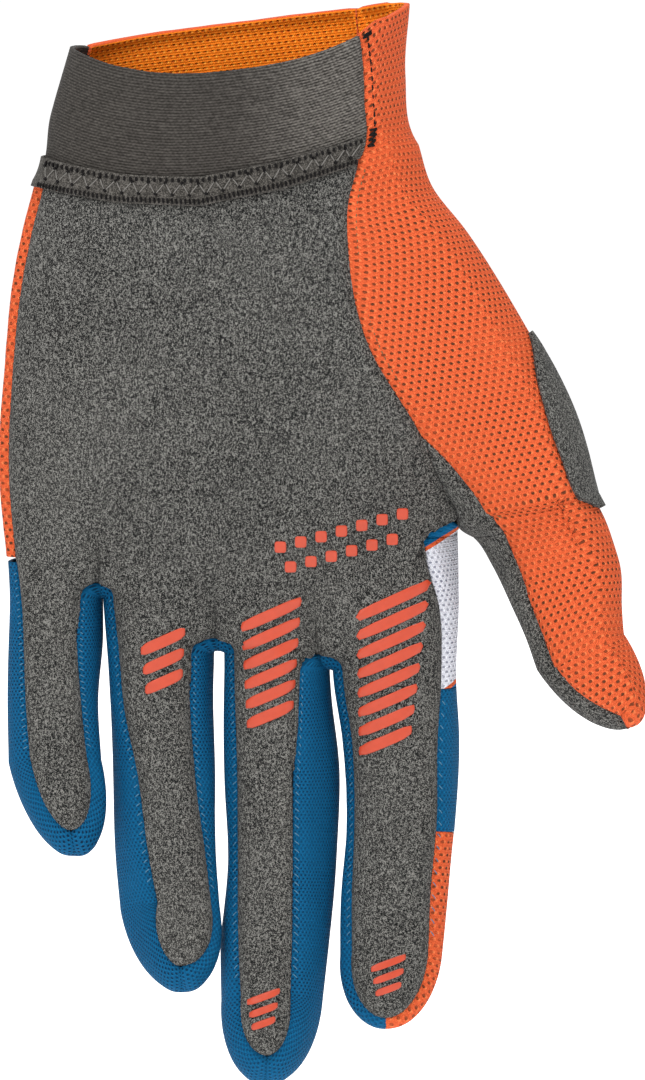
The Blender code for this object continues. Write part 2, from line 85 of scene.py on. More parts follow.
# Each digit's sections: share along it, then centre, breadth and the two seams as shares of its breadth
digits = (
    dict(
        name="little", length=0.0584, breadth=0.0205, depth=0.0180, bend=0.014,
        across=-0.392, root=0.844, cap=(0.66, 0.66), tip=(0.22, 0.34), tipSeam=0.81, sides=(None, 1),
        sections=(
            (-0.09, 0.010, 0.99, 0.06, 0.20),
            (0.06, 0.010, 0.98, 0.10, 0.20),
            (0.21, 0.003, 1.00, 0.14, 0.22),
            (0.44, -0.023, 0.97, 0.17, 0.15),
            (0.66, 0.000, 0.98, 0.20, 0.11),
        ),
    ),
    dict(
        name="ring", length=0.0756, breadth=0.0222, depth=0.0196, bend=0.018,
        across=-0.158, root=0.964, cap=(0.77, 0.77), tip=(0.13, 0.23), tipSeam=0.79, sides=(1, 2),
        sections=(
            (-0.11, -0.030, 1.07, 0.06, 0.20),
            (0.06, -0.010, 1.05, 0.09, 0.20),
            (0.18, -0.010, 1.02, 0.11, 0.19),
            (0.41, 0.012, 0.99, 0.22, 0.15),
            (0.64, 0.036, 0.97, 0.29, 0.06),
            (0.77, 0.075, 0.96, 0.33, 0.04),
        ),
    ),
    dict(
        name="middle", length=0.0923, breadth=0.0235, depth=0.0208, bend=0.017,
        across=0.095, root=1.000, cap=(0.81, 0.81), tip=(-0.055, 0.19), tipSeam=0.74, sides=(2, 3),
        sections=(
            (-0.03, -0.020, 0.96, 0.06, 0.25),
            (0.11, -0.015, 0.99, 0.08, 0.28),
            (0.29, 0.030, 1.04, 0.08, 0.38),
            (0.48, 0.035, 1.00, 0.06, 0.37),
            (0.67, -0.035, 0.99, 0.13, 0.30),
            (0.81, -0.060, 0.93, 0.15, 0.26),
        ),
    ),
    dict(
        name="index", length=0.0807, breadth=0.0240, depth=0.0212, bend=0.013,
        across=0.350, root=1.000, cap=(0.81, 0.81), tip=(-0.055, 0.19), tipSeam=0.93, sides=(3, 4),
        sections=(
            (-0.37, 0.000, 1.10, 0.04, 0.32),
            (-0.25, 0.000, 1.13, 0.04, 0.24),
            (-0.15, 0.000, 1.15, 0.05, 0.16),
            (0.07, 0.005, 1.11, 0.05, 0.12),
            (0.23, 0.060, 1.05, 0.04, 0.18),
            (0.45, 0.060, 0.98, 0.03, 0.15),
            (0.65, -0.005, 0.96, 0.06, 0.13),
            (0.81, -0.035, 0.90, 0.06, 0.09),
        ),
    ),
    dict(
        name="thumb", length=0.0475, breadth=0.0230, depth=0.0215, bend=0.004,
        across=0.720, root=0.702, cap=(0.65, 0.50), tip=(0.44, 0.35), tipSeam=0.90, sides=(4, None),
        sections=(
            (-0.12, -0.445, 1.39, 0.04, 0.25),
            (0.00, -0.325, 1.40, 0.04, 0.25),
            (0.10, -0.185, 1.27, 0.05, 0.22),
            (0.19, -0.100, 1.21, 0.06, 0.20),
            (0.38, 0.004, 1.02, 0.07, 0.18),
            (0.50, 0.071, 0.92, 0.07, 0.17),
            (0.65, 0.160, 0.88, 0.08, 0.17),
        ),
    ),
)
thumbSeam = ((-0.25, 0.0), (-0.125, 0.17), (0.0, 0.25), (0.2, 0.18), (0.5, 0.10), (1.0, 0.06),
             (1.5, 0.12), (1.75, 0.25), (2.0, 0.50))
patchEdges = ((-0.47, 0.42, 0.52), (-0.38, 0.16, 0.80), (-0.26, 0.02, 0.93), (-0.12, 0.02, 0.95),
              (0.00, 0.12, 0.86), (0.08, 0.38, 0.60))

# How finely the surfaces are cut: millimetres between rows and columns across a digit
detail = {"rowStep": 0.0008, "columns": 24, "backColumns": 18, "ribbonColumns": 10}


# Evenly spaced rows, about one step apart over a length in metres
def rowsBetween(start, end, length):
    return np.linspace(start, end, max(2, int(length / detail["rowStep"]) + 1))


cuffRows = rowsBetween(-2, -1, hand["cuffHeight"])
handRows = rowsBetween(-1, 0, hand["palmLength"] * 0.9)
archRows = np.linspace(0, hand["archShare"], 12)
fingerRows = rowsBetween(hand["archShare"], 1, 0.066)
capRows = np.linspace(1, 2, 26)
digitRows = np.concatenate([archRows, fingerRows[1:], capRows[1:]])
fromCuffEnd = np.concatenate([handRows, digitRows[1:]])
fromRim = np.concatenate([cuffRows, fromCuffEnd[1:]])


# A smooth curve through a table: cubic pieces whose slopes come from their neighbours
def smooth(at, knots, values):
    knots = np.asarray(knots, float)
    values = np.asarray(values, float)
    slopes = np.gradient(values, knots)
    at = np.clip(at, knots[0], knots[-1])
    low = np.clip(np.searchsorted(knots, at, side="right") - 1, 0, len(knots) - 2)
    span = knots[low + 1] - knots[low]
    t = (at - knots[low]) / span
    start = (2 * t**3 - 3 * t**2 + 1) * values[low] + (t**3 - 2 * t**2 + t) * span * slopes[low]
    end = (3 * t**2 - 2 * t**3) * values[low + 1] + (t**3 - t**2) * span * slopes[low + 1]
    return start + end


# 3t^2 - 2t^3, level at 0 and at 1
def ease(t):
    t = np.clip(t, 0.0, 1.0)
    return t * t * (3 - 2 * t)


# Straight from a to b as t goes from 0 to 1
def mix(a, b, t):
    return a + (b - a) * t


# A rounded section: (1 - |w|^n)^(1/n), where w is -1 and 1 at its edges
def bulge(w, fullness):
    return (1 - np.clip(np.abs(w), 0, 1) ** fullness) ** (1 / fullness)


# X of one of the six lines that part the hand into strips; the outlines move in by inset
def lineAcross(line, row, inset):
    rows = [section[0] for section in cuffLines + handLines]
    across = [section[line + 1] * hand["cuffWidth"] for section in cuffLines]
    across += [section[line + 1] * hand["palmBreadth"] for section in handLines]
    x = smooth(row, rows, across)
    if line == 0:
        return x + inset
    return x - inset if line == 5 else x


# Z of the same line: straight from the rim to the cuff's end, then straight to the fork
def lineHeight(line, row):
    rim = hand["rimHeight"] + hand["rimSlant"] * cuffLines[0][line + 1]
    cuffEnd = -hand["cuffHeight"] * cuffEndDrop[line]
    fork = -hand["cuffHeight"] - hand["palmLength"] * forkDrop[line]
    return np.where(row < -1, mix(rim, cuffEnd, row + 2), mix(cuffEnd, fork, row + 1))


# Z where a digit's length is measured from
def rootHeight(digit):
    return -hand["cuffHeight"] - hand["palmLength"] * digit["root"]


# One column of a digit's sections at height z, by the share of its length that z lies along
def sectionValue(digit, z, column):
    along = (rootHeight(digit) - z) / digit["length"]
    table = digit["sections"]
    return smooth(along, [section[0] for section in table], [section[column] for section in table])


# X of a digit's outline: its centre plus or minus half its breadth, less the seam's share
def edgeOf(digit, side, z, inset, gusset):
    sign = 1 if side else -1
    centre = hand["palmBreadth"] * digit["across"] + digit["breadth"] * sectionValue(digit, z, 1)
    half = digit["breadth"] * sectionValue(digit, z, 2) / 2 - inset
    return centre + sign * (half - gusset)


# How far a seam lies in from the outline: a share of the breadth on the back, and on the palm
# a column of the table
def gussetAt(digit, side, z, place):
    if place == "outline":
        return 0 * z
    if place == "back":
        return hand["backGusset"] * digit["breadth"] + 0 * z
    return digit["breadth"] * sectionValue(digit, z, 3 + side)


# Z where the tip starts on one side
def capHeight(digit, side):
    return rootHeight(digit) - digit["cap"][side] * digit["length"]


# One side of a digit: a quarter circle round the fork, then straight down to where the tip starts
def sidePoint(digit, side, row, inset, place):
    row = np.asarray(row, float)
    fork = digit["sides"][side]
    end = capHeight(digit, side)
    if fork is None:
        line = 5 if side else 0
        z = mix(lineHeight(line, 0.0), end, np.clip(row, 0, 1))
        return edgeOf(digit, side, z, inset, gussetAt(digit, side, z, place)), z
    topX = lineAcross(fork, 0.0, 0.0)
    top = lineHeight(fork, 0.0) + inset
    angle = np.clip(row / hand["archShare"], 0, 1) * math.pi / 2
    down = np.clip((row - hand["archShare"]) / (1 - hand["archShare"]), 0, 1)
    reach = hand["slitDepth"] + hand["slitHalf"]
    straight = (end - top + reach) * down
    turned = 1 - np.cos(angle)
    lip = hand["slitDepth"] if place == "outline" else 0
    if fork == webLine and place != "back":  # the web is a plain notch
        turned = np.sin(angle)
        lip = hand["webLip"] if place == "outline" else 0
    z = top - lip - (reach - lip) * turned + straight
    return topX + (edgeOf(digit, side, z, inset, gussetAt(digit, side, z, place)) - topX) * np.sin(angle), z


# Place of a seam in the digit's section: 1 at the outline, less the seam's distance over half the breadth
def seamShare(digit, side, z, place, inset):
    half = digit["breadth"] * sectionValue(digit, z, 2) / 2 - inset
    return 1 - gussetAt(digit, side, z, place) / half


# How near the seams come to the tip's outline, at its left, its point and its right
def holdBack(digit, place, inset):
    left, right = (float(seamShare(digit, side, capHeight(digit, side), place, inset)) for side in (0, 1))
    return left, hand["backTipSeam"] if place == "back" else digit["tipSeam"], right


# Centre, half breadth and point of a rounded tip, as X and Z
def tipFrame(digit, inset):
    left = np.array(sidePoint(digit, 0, 1.0, inset, "outline"), float)
    right = np.array(sidePoint(digit, 1, 1.0, inset, "outline"), float)
    reach = digit["tip"][1] * digit["length"] - inset
    return (left + right) / 2, (right - left) / 2, np.array([digit["tip"][0] * digit["breadth"], -reach])


# The fingers bend towards the palm: y = -bend * along^2
def middleOf(digit, x, z):
    lowest = min(lineHeight(fork, 0.0) for fork in digit["sides"] if fork is not None)
    if digit["name"] == "thumb":
        lowest = lineHeight(4, 0.0)
    along = np.clip((lowest - hand["slitDepth"] - z) / digit["length"], 0, None)
    return -digit["bend"] * along**2, 2 * digit["bend"] * along / digit["length"]


# The thumb leans towards the palm by eased shares of its forward reach, mixed from its left edge to its right
def thumbLean(row, s):
    atLeft = hand["thumbForward"] * ease(row)
    atRight = hand["thumbForward"] * (0.75 * ease(row + 1) + 0.55 * ease(row))
    return mix(atLeft, atRight, s)


# The point at a height off the digit's middle surface, moved square to that surface's slope
def placed(number, row, s, x, z, height, front):
    y, slope = middleOf(digits[number], x, z)
    if number == 4:
        y = y - thumbLean(row, s)
    length = np.sqrt(1 + slope**2)
    side = 1 if front else -1
    return np.stack([x, y - side * height / length, z + side * height * slope / length], axis=-1)


# Half the hand's depth at a row, a smooth curve through four depths
def halfDepth(row, inset):
    depths = (hand["cuffDepth"], 0.93 * hand["cuffDepth"], hand["palmDepth"], hand["knuckleDepth"])
    return smooth(row, (-2, -1, -0.4, 0), depths) / 2 - inset


# Half a digit's depth: straight from its root's to 0.88 of its own where the tip starts
def digitDepth(digit, row, inset):
    root = mix(hand["knuckleDepth"], digit["depth"], 0.6)
    return mix(root, 0.88 * digit["depth"], np.clip(row, 0, 1)) / 2 - inset


# Where the digit's section starts and ends at its root: (1 - (crotch / depth)^n)^(1/n) at a fork
def rootShares(digit, place, inset):
    depth = float(digitDepth(digit, 0.0, inset))
    n = hand["digitFullness"]
    atFork = (1 - min(hand["crotchHalfDepth"] / depth, 0.999) ** n) ** (1 / n)
    shares = []
    for side in (0, 1):
        z = lineHeight(5 if side else 0, 0.0)
        atSeam = float(seamShare(digit, side, z, place, inset))
        shares.append(atSeam if digit["sides"][side] is None else atFork)
    return shares


# How far the hand's edge strips stop short of the outline, as the digit below them does
def edgeInset(number, side, place):
    if digits[number]["sides"][side] is not None:
        return 0.0
    return float(gussetAt(digits[number], side, lineHeight(5 if side else 0, 0.0), place))


# Share of the height from one fork to the next: level beside each fork, so that the cloth lies flat
def levelShare(number, row, s):
    if number == 4:
        return s
    return mix(s, ease(s), ease(1 - np.abs(row)))


# The hand: each row is one rounded section across all strips, height = half depth * bulge(across),
# and it turns into the digits' own sections near the forks
def handSkin(number, row, s, front, inset):
    digit = digits[number]
    place = "palm" if front else "back"
    left = lineAcross(0, row, inset)
    right = lineAcross(5, row, inset)
    x0 = lineAcross(number, row, inset) + edgeInset(number, 0, place)
    x1 = lineAcross(number + 1, row, inset) - edgeInset(number, 1, place)
    x = mix(x0, x1, s)
    z = mix(lineHeight(number, row), lineHeight(number + 1, row), levelShare(number, row, s))
    z = z + inset * ease(8 * row + 1)
    across = 2 * (x - left) / (right - left) - 1
    if front:
        dip = hand["rimFrontDip"] * (1 - np.abs(across) ** hand["dipPower"])
        z = z - dip * np.clip(-1 - row, 0, 1)
    body = halfDepth(row, inset) * bulge(across, hand["bodyFullness"])
    low, high = rootShares(digit, place, inset)
    own = digitDepth(digit, 0.0, inset) * bulge(mix(-low, high, s), hand["digitFullness"])
    start = hand["frontTurns"] if front else hand["backTurns"]
    height = mix(body, own, ease((row - start) / -start) ** hand["turnPower"])
    y = -thumbLean(row, s) if number == 4 else 0 * x
    return np.stack([x, y - height if front else y + height, z], axis=-1)


# A digit: rounded sections between its two seams, then quarter turns over the tip
def digitSkin(number, row, s, front, inset):
    digit = digits[number]
    place = "palm" if front else "back"
    straight = np.minimum(row, 1.0)
    x0, z0 = sidePoint(digit, 0, straight, inset, place)
    x1, z1 = sidePoint(digit, 1, straight, inset, place)
    angle = np.clip(straight / hand["archShare"], 0, 1) * math.pi / 2
    low, high = rootShares(digit, place, inset)
    w0 = mix(low, seamShare(digit, 0, z0, place, inset), np.sin(angle))
    w1 = mix(high, seamShare(digit, 1, z1, place, inset), np.sin(angle))
    outer0 = sidePoint(digit, 0, straight, inset, "outline")[0]
    outer1 = sidePoint(digit, 1, straight, inset, "outline")[0]
    # Beside a fork only the strip's edge follows the seam, further down the whole strip does
    near = mix(6.0, 1.0, ease((straight - hand["archShare"]) / hand["edgeReach"]))
    x = mix(outer0, outer1, s) + (x0 - outer0) * (1 - s) ** near + (x1 - outer1) * s**near
    z = mix(z0, z1, levelShare(number, row, s))
    w = mix(-w0, w1, (x - x0) / np.maximum(x1 - x0, 1e-6))
    height = digitDepth(digit, straight, inset) * bulge(w, hand["digitFullness"])
    a, b = tipPlace(digit, row, s, place, inset)
    centre, half, tip = tipFrame(digit, inset)
    inCap = row > 1
    x = np.where(inCap, centre[0] + half[0] * a + tip[0] * b, x)
    z = np.where(inCap, centre[1] + half[1] * a + tip[1] * b, z)
    capRise = digitDepth(digit, 1.0, inset) * bulge(np.hypot(a, b), hand["digitFullness"])
    height = np.where(inCap, capRise, height)
    return placed(number, row, s, x, z, height, front)


# Place on the tip's unit disc: a runs across and b down
def tipPlace(digit, row, s, place, inset):
    seams = holdBack(digit, place, inset)
    turn = mix(math.pi / 2, hand["lastRowAngle"], np.clip(row - 1, 0, 1))
    left, right = (mix(seams[1], seams[2 * side], np.sin(turn) ** 2) for side in (0, 1))
    a = mix(-left * np.sin(turn), right * np.sin(turn), s)
    b = mix(left * np.cos(turn), right * np.cos(turn), s)
    return a, b


# A point of the surface: the hand above row 0 and the digit below it
def skin(number, row, s, front=True, inset=wall):
    row, s = np.broadcast_arrays(np.asarray(row, float), np.asarray(s, float))
    above = handSkin(number, np.minimum(row, 0.0), s, front, inset)
    below = digitSkin(number, np.maximum(row, 0.0), s, front, inset)
    return np.where((row > 0)[..., None], below, above)


# The line halfway round between palm and back, for one edge of a strip
def outlineOf(number, row, s, inset=wall):
    digit = digits[number]
    side = 1 if np.mean(s) > 0.5 else 0
    x, z = sidePoint(digit, side, np.clip(row, 0, 1), inset, "outline")
    if digit["sides"][side] is None:
        line = 5 if side else 0
        x = np.where(row <= 0, lineAcross(line, row, inset), x)
        z = np.where(row <= 0, lineHeight(line, row) + inset * ease(8 * row + 1), z)
    a, b = tipPlace(digit, np.maximum(row, 1), s, "palm", inset)
    centre, half, tip = tipFrame(digit, inset)
    roundTo = np.arctan2(a, b)
    x = np.where(row > 1, centre[0] + half[0] * np.sin(roundTo) + tip[0] * np.cos(roundTo), x)
    z = np.where(row > 1, centre[1] + half[1] * np.sin(roundTo) + tip[1] * np.cos(roundTo), z)
    return placed(number, row, s, x, z, 0.0, True)


# Running length along an axis of a grid of points
def runningLength(points, axis):
    steps = np.linalg.norm(np.diff(points, axis=axis), axis=-1)
    first = np.zeros_like(np.take(steps, [0], axis=axis))
    return np.cumsum(np.concatenate([first, steps], axis=axis), axis=axis)


# One strip between two shares of its breadth; the texture runs in metres across and down
def strip(number, rows, start, end, columns, front, inset=wall, acrossFrom=0.0, down=None):
    start = np.broadcast_to(start, rows.shape)[:, None]
    end = np.broadcast_to(end, rows.shape)[:, None]
    across = start + (end - start) * np.linspace(0, 1, columns + 1)[None, :]
    points = skin(number, rows[:, None], across, front, inset)
    u = runningLength(points, 1) + acrossFrom
    v = runningLength(points, 0) if down is None else np.broadcast_to(down[:, None], u.shape)
    return points, np.stack([u, v], axis=-1), front


# Strips side by side, whose textures run on from one to the next
def stripsOf(numbers, rows, columns, front, inset=wall, lastEnd=1.0):
    grids, across = [], 0.0
    for number in numbers:
        end = lastEnd if number == numbers[-1] else 1.0
        grids.append(strip(number, rows, 0, end, columns, front, inset, across))
        across = grids[-1][1][:, -1:, 0]
    return grids


# Breadth of a strip from edge to edge
def breadthAt(number, rows):
    return np.linalg.norm(skin(number, rows, 1.0) - skin(number, rows, 0.0), axis=-1)


# A path down one side of a digit and over half of its tip, as rows and shares; two such paths meet
# at the tip, a hair apart
def downSide(number, side, rows):
    overTip = np.append(np.linspace(0, 0.5, 4)[1:-1], 0.4998)
    shares = np.append(np.full(len(rows), float(side)), abs(side - overTip))
    return number, np.append(rows, np.full(3, 2.0)), shares


# A ribbon round the outline: the curve (1-t)^2 F + 2t(1-t) H + t^2 B between palm seam F and back seam B,
# whose handle H makes it pass through the outline
def ribbon(path, frontGap, backGap, inset=wall, limits=None, columns=None, flip=False):
    number, rows, s = path
    first = skin(number, rows, s, True, inset)
    last = skin(number, rows, s, False, inset)
    middle = outlineOf(number, rows, s, inset)
    handle = 2 * middle - (first + last) / 2
    arc = np.linalg.norm(first - middle, axis=-1) + np.linalg.norm(last - middle, axis=-1)
    wider = 1 + 1.5 * np.clip(1 - np.abs(rows) / hand["archShare"], 0, 1)
    low, high = frontGap * wider / arc, 1 - backGap * wider / arc
    if limits is not None:
        low, high = limits
    across = np.linspace(0, 1, (columns or detail["ribbonColumns"]) + 1)
    t = (low[:, None] + (high - low)[:, None] * across)[..., None]
    points = (1 - t) ** 2 * first[:, None] + 2 * t * (1 - t) * handle[:, None] + t**2 * last[:, None]
    u = runningLength(points, 1)
    v = np.broadcast_to(runningLength(points[:, [points.shape[1] // 2]], 0), u.shape)
    return points, np.stack([u, v], axis=-1), flip


# Two grids in one, end to end, whose texture runs on
def joined(first, second):
    points = np.concatenate([first[0], second[0][1:]])
    texture = np.concatenate([first[1], second[1][1:] + np.array([0, first[1][-1, 0, 1]])])
    return points, texture, first[2]


# The same grid with its rows in the other order, which turns its faces over
def turnedRound(grid):
    return grid[0][::-1], grid[1][::-1], grid[2]


# Slow waves in the cloth: a sum of a few sines of place, between about -1 and 1
def waves(points, size, seed):
    rng = np.random.default_rng(seed)
    total = np.zeros(points.shape[:-1])
    for turn in range(5):
        direction = rng.normal(size=3)
        direction /= np.linalg.norm(direction)
        often = 2 * math.pi / (size * rng.uniform(0.7, 1.5))
        total += np.sin(points @ direction * often + rng.uniform(0, 6.3))
    return total / 3


# Distance from each point to the nearest of the segments: the foot of the plumb line, kept on the segment
def distanceTo(points, starts, ends):
    nearest = np.full(len(points), 1.0)
    run = ends - starts
    square = np.maximum((run**2).sum(axis=1), 1e-12)
    for part in np.array_split(np.arange(len(points)), max(1, len(points) * len(starts) // 3000000)):
        away = points[part, None, :] - starts[None]
        t = np.clip((away * run[None]).sum(axis=2) / square, 0, 1)
        nearest[part] = np.linalg.norm(away - t[..., None] * run[None], axis=2).min(axis=1)
    return nearest


# A field of the mesh as an array with so many numbers in a row
def floatsOf(source, field, width):
    values = np.empty(len(source) * width, np.float32)
    source.foreach_get(field, values)
    return values.reshape(-1, width).astype(float)


# A mesh from grids of points, joined where they meet
def meshOf(name, grids):
    points, texture, faces, start = [], [], [], 0
    for grid, uv, flip in grids:
        high, wide = grid.shape[:2]
        index = start + np.arange(high * wide).reshape(high, wide)
        ring = [index[:-1, :-1], index[:-1, 1:], index[1:, 1:], index[1:, :-1]]
        faces.append(np.stack(ring[::-1] if flip else ring, axis=-1).reshape(-1, 4))
        points.append(grid.reshape(-1, 3))
        texture.append(uv.reshape(-1, 2))
        start += high * wide
    points, texture, faces = (np.concatenate(part) for part in (points, texture, faces))
    mesh = bpy.data.meshes.new(name)
    mesh.from_pydata(points, [], faces)
    corners = texture[faces.reshape(-1)].astype(np.float32)
    mesh.uv_layers.new(name="UVMap").data.foreach_set("uv", corners.reshape(-1))
    work = bmesh.new()
    work.from_mesh(mesh)
    bmesh.ops.remove_doubles(work, verts=work.verts, dist=4e-6)
    bmesh.ops.dissolve_degenerate(work, edges=work.edges, dist=1e-7)
    work.to_mesh(mesh)
    work.free()
    mesh.update()
    return mesh


# Turns the cloth in at its edges and lets it swell, ripple and pucker beside them, with d in millimetres
# from the edge: height = -turn * exp(-(d/width)^2) + puff * exp(-((d-3)/2)^2) + ripple * slow wave
# + pucker * short wave * exp(-((d-1.5)/1.5)^2)
def shapeCloth(mesh, look):
    edges = np.empty(len(mesh.edges) * 2, np.int32)
    mesh.edges.foreach_get("vertices", edges)
    edges = edges.reshape(-1, 2)
    loops = np.empty(len(mesh.loops), np.int32)
    mesh.loops.foreach_get("edge_index", loops)
    free = edges[np.bincount(loops, minlength=len(edges)) == 1]
    points = floatsOf(mesh.vertices, "co", 3)
    run = points[free[:, 1]] - points[free[:, 0]]
    free = free[np.abs(run[:, 1]) < 0.75 * np.linalg.norm(run, axis=1)]  # ends at the next piece stay flush
    normals = floatsOf(mesh.vertex_normals, "vector", 3)
    d = distanceTo(points, points[free[:, 0]], points[free[:, 1]]) * 1000
    height = -look["turnIn"] * np.exp(-(d / look["turnWidth"]) ** 2)
    height += look["puff"] * np.exp(-(((d - 3) / 2) ** 2))
    height += look["ripple"] * waves(points, look["rippleSize"], 7) * ease(d / 4)
    height += look["pucker"] * waves(points, 0.006, 11) * np.exp(-((d - 1.5) / 1.5) ** 2)
    moved = points + normals * height[:, None] * 0.001
    mesh.vertices.foreach_set("co", moved.astype(np.float32).reshape(-1))
    mesh.update()


# A panel: the grids joined, shaped as cloth and given its thickness outwards, the lining's colour inside
def pieceOf(name, grids, materials, look, nodes, thickness=wall):
    mesh = meshOf(name, grids)
    shapeCloth(mesh, look)
    for material in materials:
        mesh.materials.append(material)
    mesh.polygons.foreach_set("use_smooth", np.ones(len(mesh.polygons), bool))
    piece = bpy.data.objects.new(name, mesh)
    bpy.context.scene.collection.objects.link(piece)
    cloth = piece.modifiers.new("Cloth", "SOLIDIFY")
    cloth.thickness = thickness
    cloth.offset = 1.0
    cloth.material_offset = 1 if len(materials) > 1 else 0
    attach(piece, "root")
    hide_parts(*nodes)
    print("made", name, len(mesh.polygons))
    return piece


# Short lengths of thread, each a six-sided tube that dips into the cloth at both ends:
# its middle rises by sin(pi t)^0.6 along the run, and lift is the way off the cloth
def threads(name, starts, ends, lift, radius, material, arch=0.35):
    starts, ends, lift = (np.asarray(part, float).reshape(-1, 3) for part in (starts, ends, lift))
    lift = lift / np.linalg.norm(lift, axis=1, keepdims=True)
    along = np.array([0.0, 0.06, 0.25, 0.5, 0.75, 0.94, 1.0])
    thick = np.array([0.25, 0.8, 1.0, 1.0, 1.0, 0.8, 0.25])
    rise = np.sin(along * math.pi) ** 0.6
    run = ends - starts
    length = np.linalg.norm(run, axis=1, keepdims=True)
    way = run / length
    aside = np.cross(way, lift)
    aside /= np.linalg.norm(aside, axis=1, keepdims=True)
    up = np.cross(aside, way)
    centre = starts[:, None] + run[:, None] * along[None, :, None]
    centre = centre + up[:, None] * (rise * radius * (1 + arch) - radius * 0.6)[None, :, None]
    angle = np.linspace(0, 2 * math.pi, 7)[:-1]
    ring = aside[:, None, None] * np.cos(angle)[None, None, :, None]
    ring = ring + up[:, None, None] * np.sin(angle)[None, None, :, None]
    points = centre[:, :, None] + ring * (radius * thick)[None, :, None, None]
    count = len(starts)
    base = np.arange(count)[:, None, None] * 42 + np.arange(6)[None, :, None] * 6
    turn = np.arange(6)[None, None, :]
    following = (turn + 1) % 6
    quads = np.stack([base + turn, base + following, base + 6 + following, base + 6 + turn], axis=-1)
    quads = quads.reshape(-1, 4)
    caps = np.arange(count)[:, None] * 42 + np.arange(6)[None, :]
    faces = quads.tolist() + caps[:, ::-1].tolist() + (caps + 36).tolist()
    mesh = bpy.data.meshes.new(name)
    mesh.from_pydata(points.reshape(-1, 3), [], faces)
    work = bmesh.new()
    work.from_mesh(mesh)
    bmesh.ops.recalc_face_normals(work, faces=work.faces)
    work.to_mesh(mesh)
    work.free()
    mesh.polygons.foreach_set("use_smooth", np.ones(len(mesh.polygons), bool))
    mesh.materials.append(material)
    piece = bpy.data.objects.new(name, mesh)
    bpy.context.scene.collection.objects.link(piece)
    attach(piece, "root")
    print("stitched", name, count)
    return piece


# Nodes for a material, one call each
class Paint:
    def __init__(self, name, roughness, sheen=0.0, specular=0.3):
        self.material = bpy.data.materials.new(name)
        self.material.use_nodes = True
        self.nodes = self.material.node_tree.nodes
        self.links = self.material.node_tree.links
        self.shader = self.nodes["Principled BSDF"]
        self.shader.inputs["Roughness"].default_value = roughness
        self.shader.inputs["Specular IOR Level"].default_value = specular
        self.shader.inputs["Sheen Weight"].default_value = sheen
        self.shader.inputs["Sheen Roughness"].default_value = 0.5
        self.place = self.nodes.new("ShaderNodeTexCoord").outputs

    def give(self, target, value):
        if hasattr(value, "is_linked"):
            self.links.new(value, target)
        else:
            target.default_value = value

    def math(self, kind, a, b=0.0, c=0.0):
        node = self.nodes.new("ShaderNodeMath")
        node.operation = kind
        for socket, value in zip(node.inputs, (a, b, c)):
            self.give(socket, value)
        return node.outputs[0]

    def step(self, value, low, high):  # smooth from 0 at low to 1 at high
        node = self.nodes.new("ShaderNodeMapRange")
        node.interpolation_type = "SMOOTHSTEP"
        for socket, item in zip(node.inputs, (value, low, high, 0.0, 1.0)):
            self.give(socket, item)
        return node.outputs[0]

    def noise(self, scale, detailLevel=2.0, rough=0.5, stretch=(1, 1, 1), where="Object"):
        bend = self.nodes.new("ShaderNodeMapping")
        bend.inputs["Scale"].default_value = stretch
        self.links.new(self.place[where], bend.inputs["Vector"])
        node = self.nodes.new("ShaderNodeTexNoise")
        node.inputs["Scale"].default_value = scale
        node.inputs["Detail"].default_value = detailLevel
        node.inputs["Roughness"].default_value = rough
        self.links.new(bend.outputs[0], node.inputs["Vector"])
        return node.outputs["Fac"]

    def texture(self):  # metres across and down the cloth
        node = self.nodes.new("ShaderNodeSeparateXYZ")
        self.links.new(self.place["UV"], node.inputs[0])
        return node.outputs[0], node.outputs[1]

    def blend(self, factor, low, high):
        node = self.nodes.new("ShaderNodeMix")
        node.data_type = "RGBA"
        for socket, value in ((node.inputs[0], factor), (node.inputs[6], low), (node.inputs[7], high)):
            self.give(socket, (*value, 1.0) if isinstance(value, tuple) else value)
        return node.outputs[2]

    # Rows of soft-edged ovals, every other row moved along by a share of the pitch
    def dots(self, u, v, acrossPitch, downPitch, wide, high, soft=0.25, stagger=0.5):
        row = self.math("FLOOR", self.math("DIVIDE", v, downPitch))
        shift = self.math("MULTIPLY", self.math("PINGPONG", row, 1.0), stagger)
        x = self.math("ADD", self.math("DIVIDE", u, acrossPitch), shift)
        x = self.math("SUBTRACT", self.math("FRACT", x), 0.5)
        y = self.math("SUBTRACT", self.math("FRACT", self.math("DIVIDE", v, downPitch)), 0.5)
        x = self.math("DIVIDE", x, wide / acrossPitch / 2)
        y = self.math("DIVIDE", y, high / downPitch / 2)
        away = self.math("SQRT", self.math("ADD", self.math("MULTIPLY", x, x), self.math("MULTIPLY", y, y)))
        return self.math("SUBTRACT", 1.0, self.step(away, 1 - soft, 1 + soft))

    def finish(self, colour, height, depth):
        self.give(self.shader.inputs["Base Color"], colour)
        bump = self.nodes.new("ShaderNodeBump")
        bump.inputs["Strength"].default_value = 1.0
        bump.inputs["Distance"].default_value = depth
        self.give(bump.inputs["Height"], height)
        self.links.new(bump.outputs[0], self.shader.inputs["Normal"])
        return self.material


# Brushed melange suede: dark and pale fibres at two scales, with soft cloudy wear
suede = {"dark": (0.006, 0.006, 0.006), "pale": (0.196, 0.192, 0.178), "grain": 4900, "depth": 0.00018}


bandWeave = {"dark": (0.026, 0.024, 0.021), "pale": (0.130, 0.120, 0.108), "grain": 5200, "depth": 0.00012}


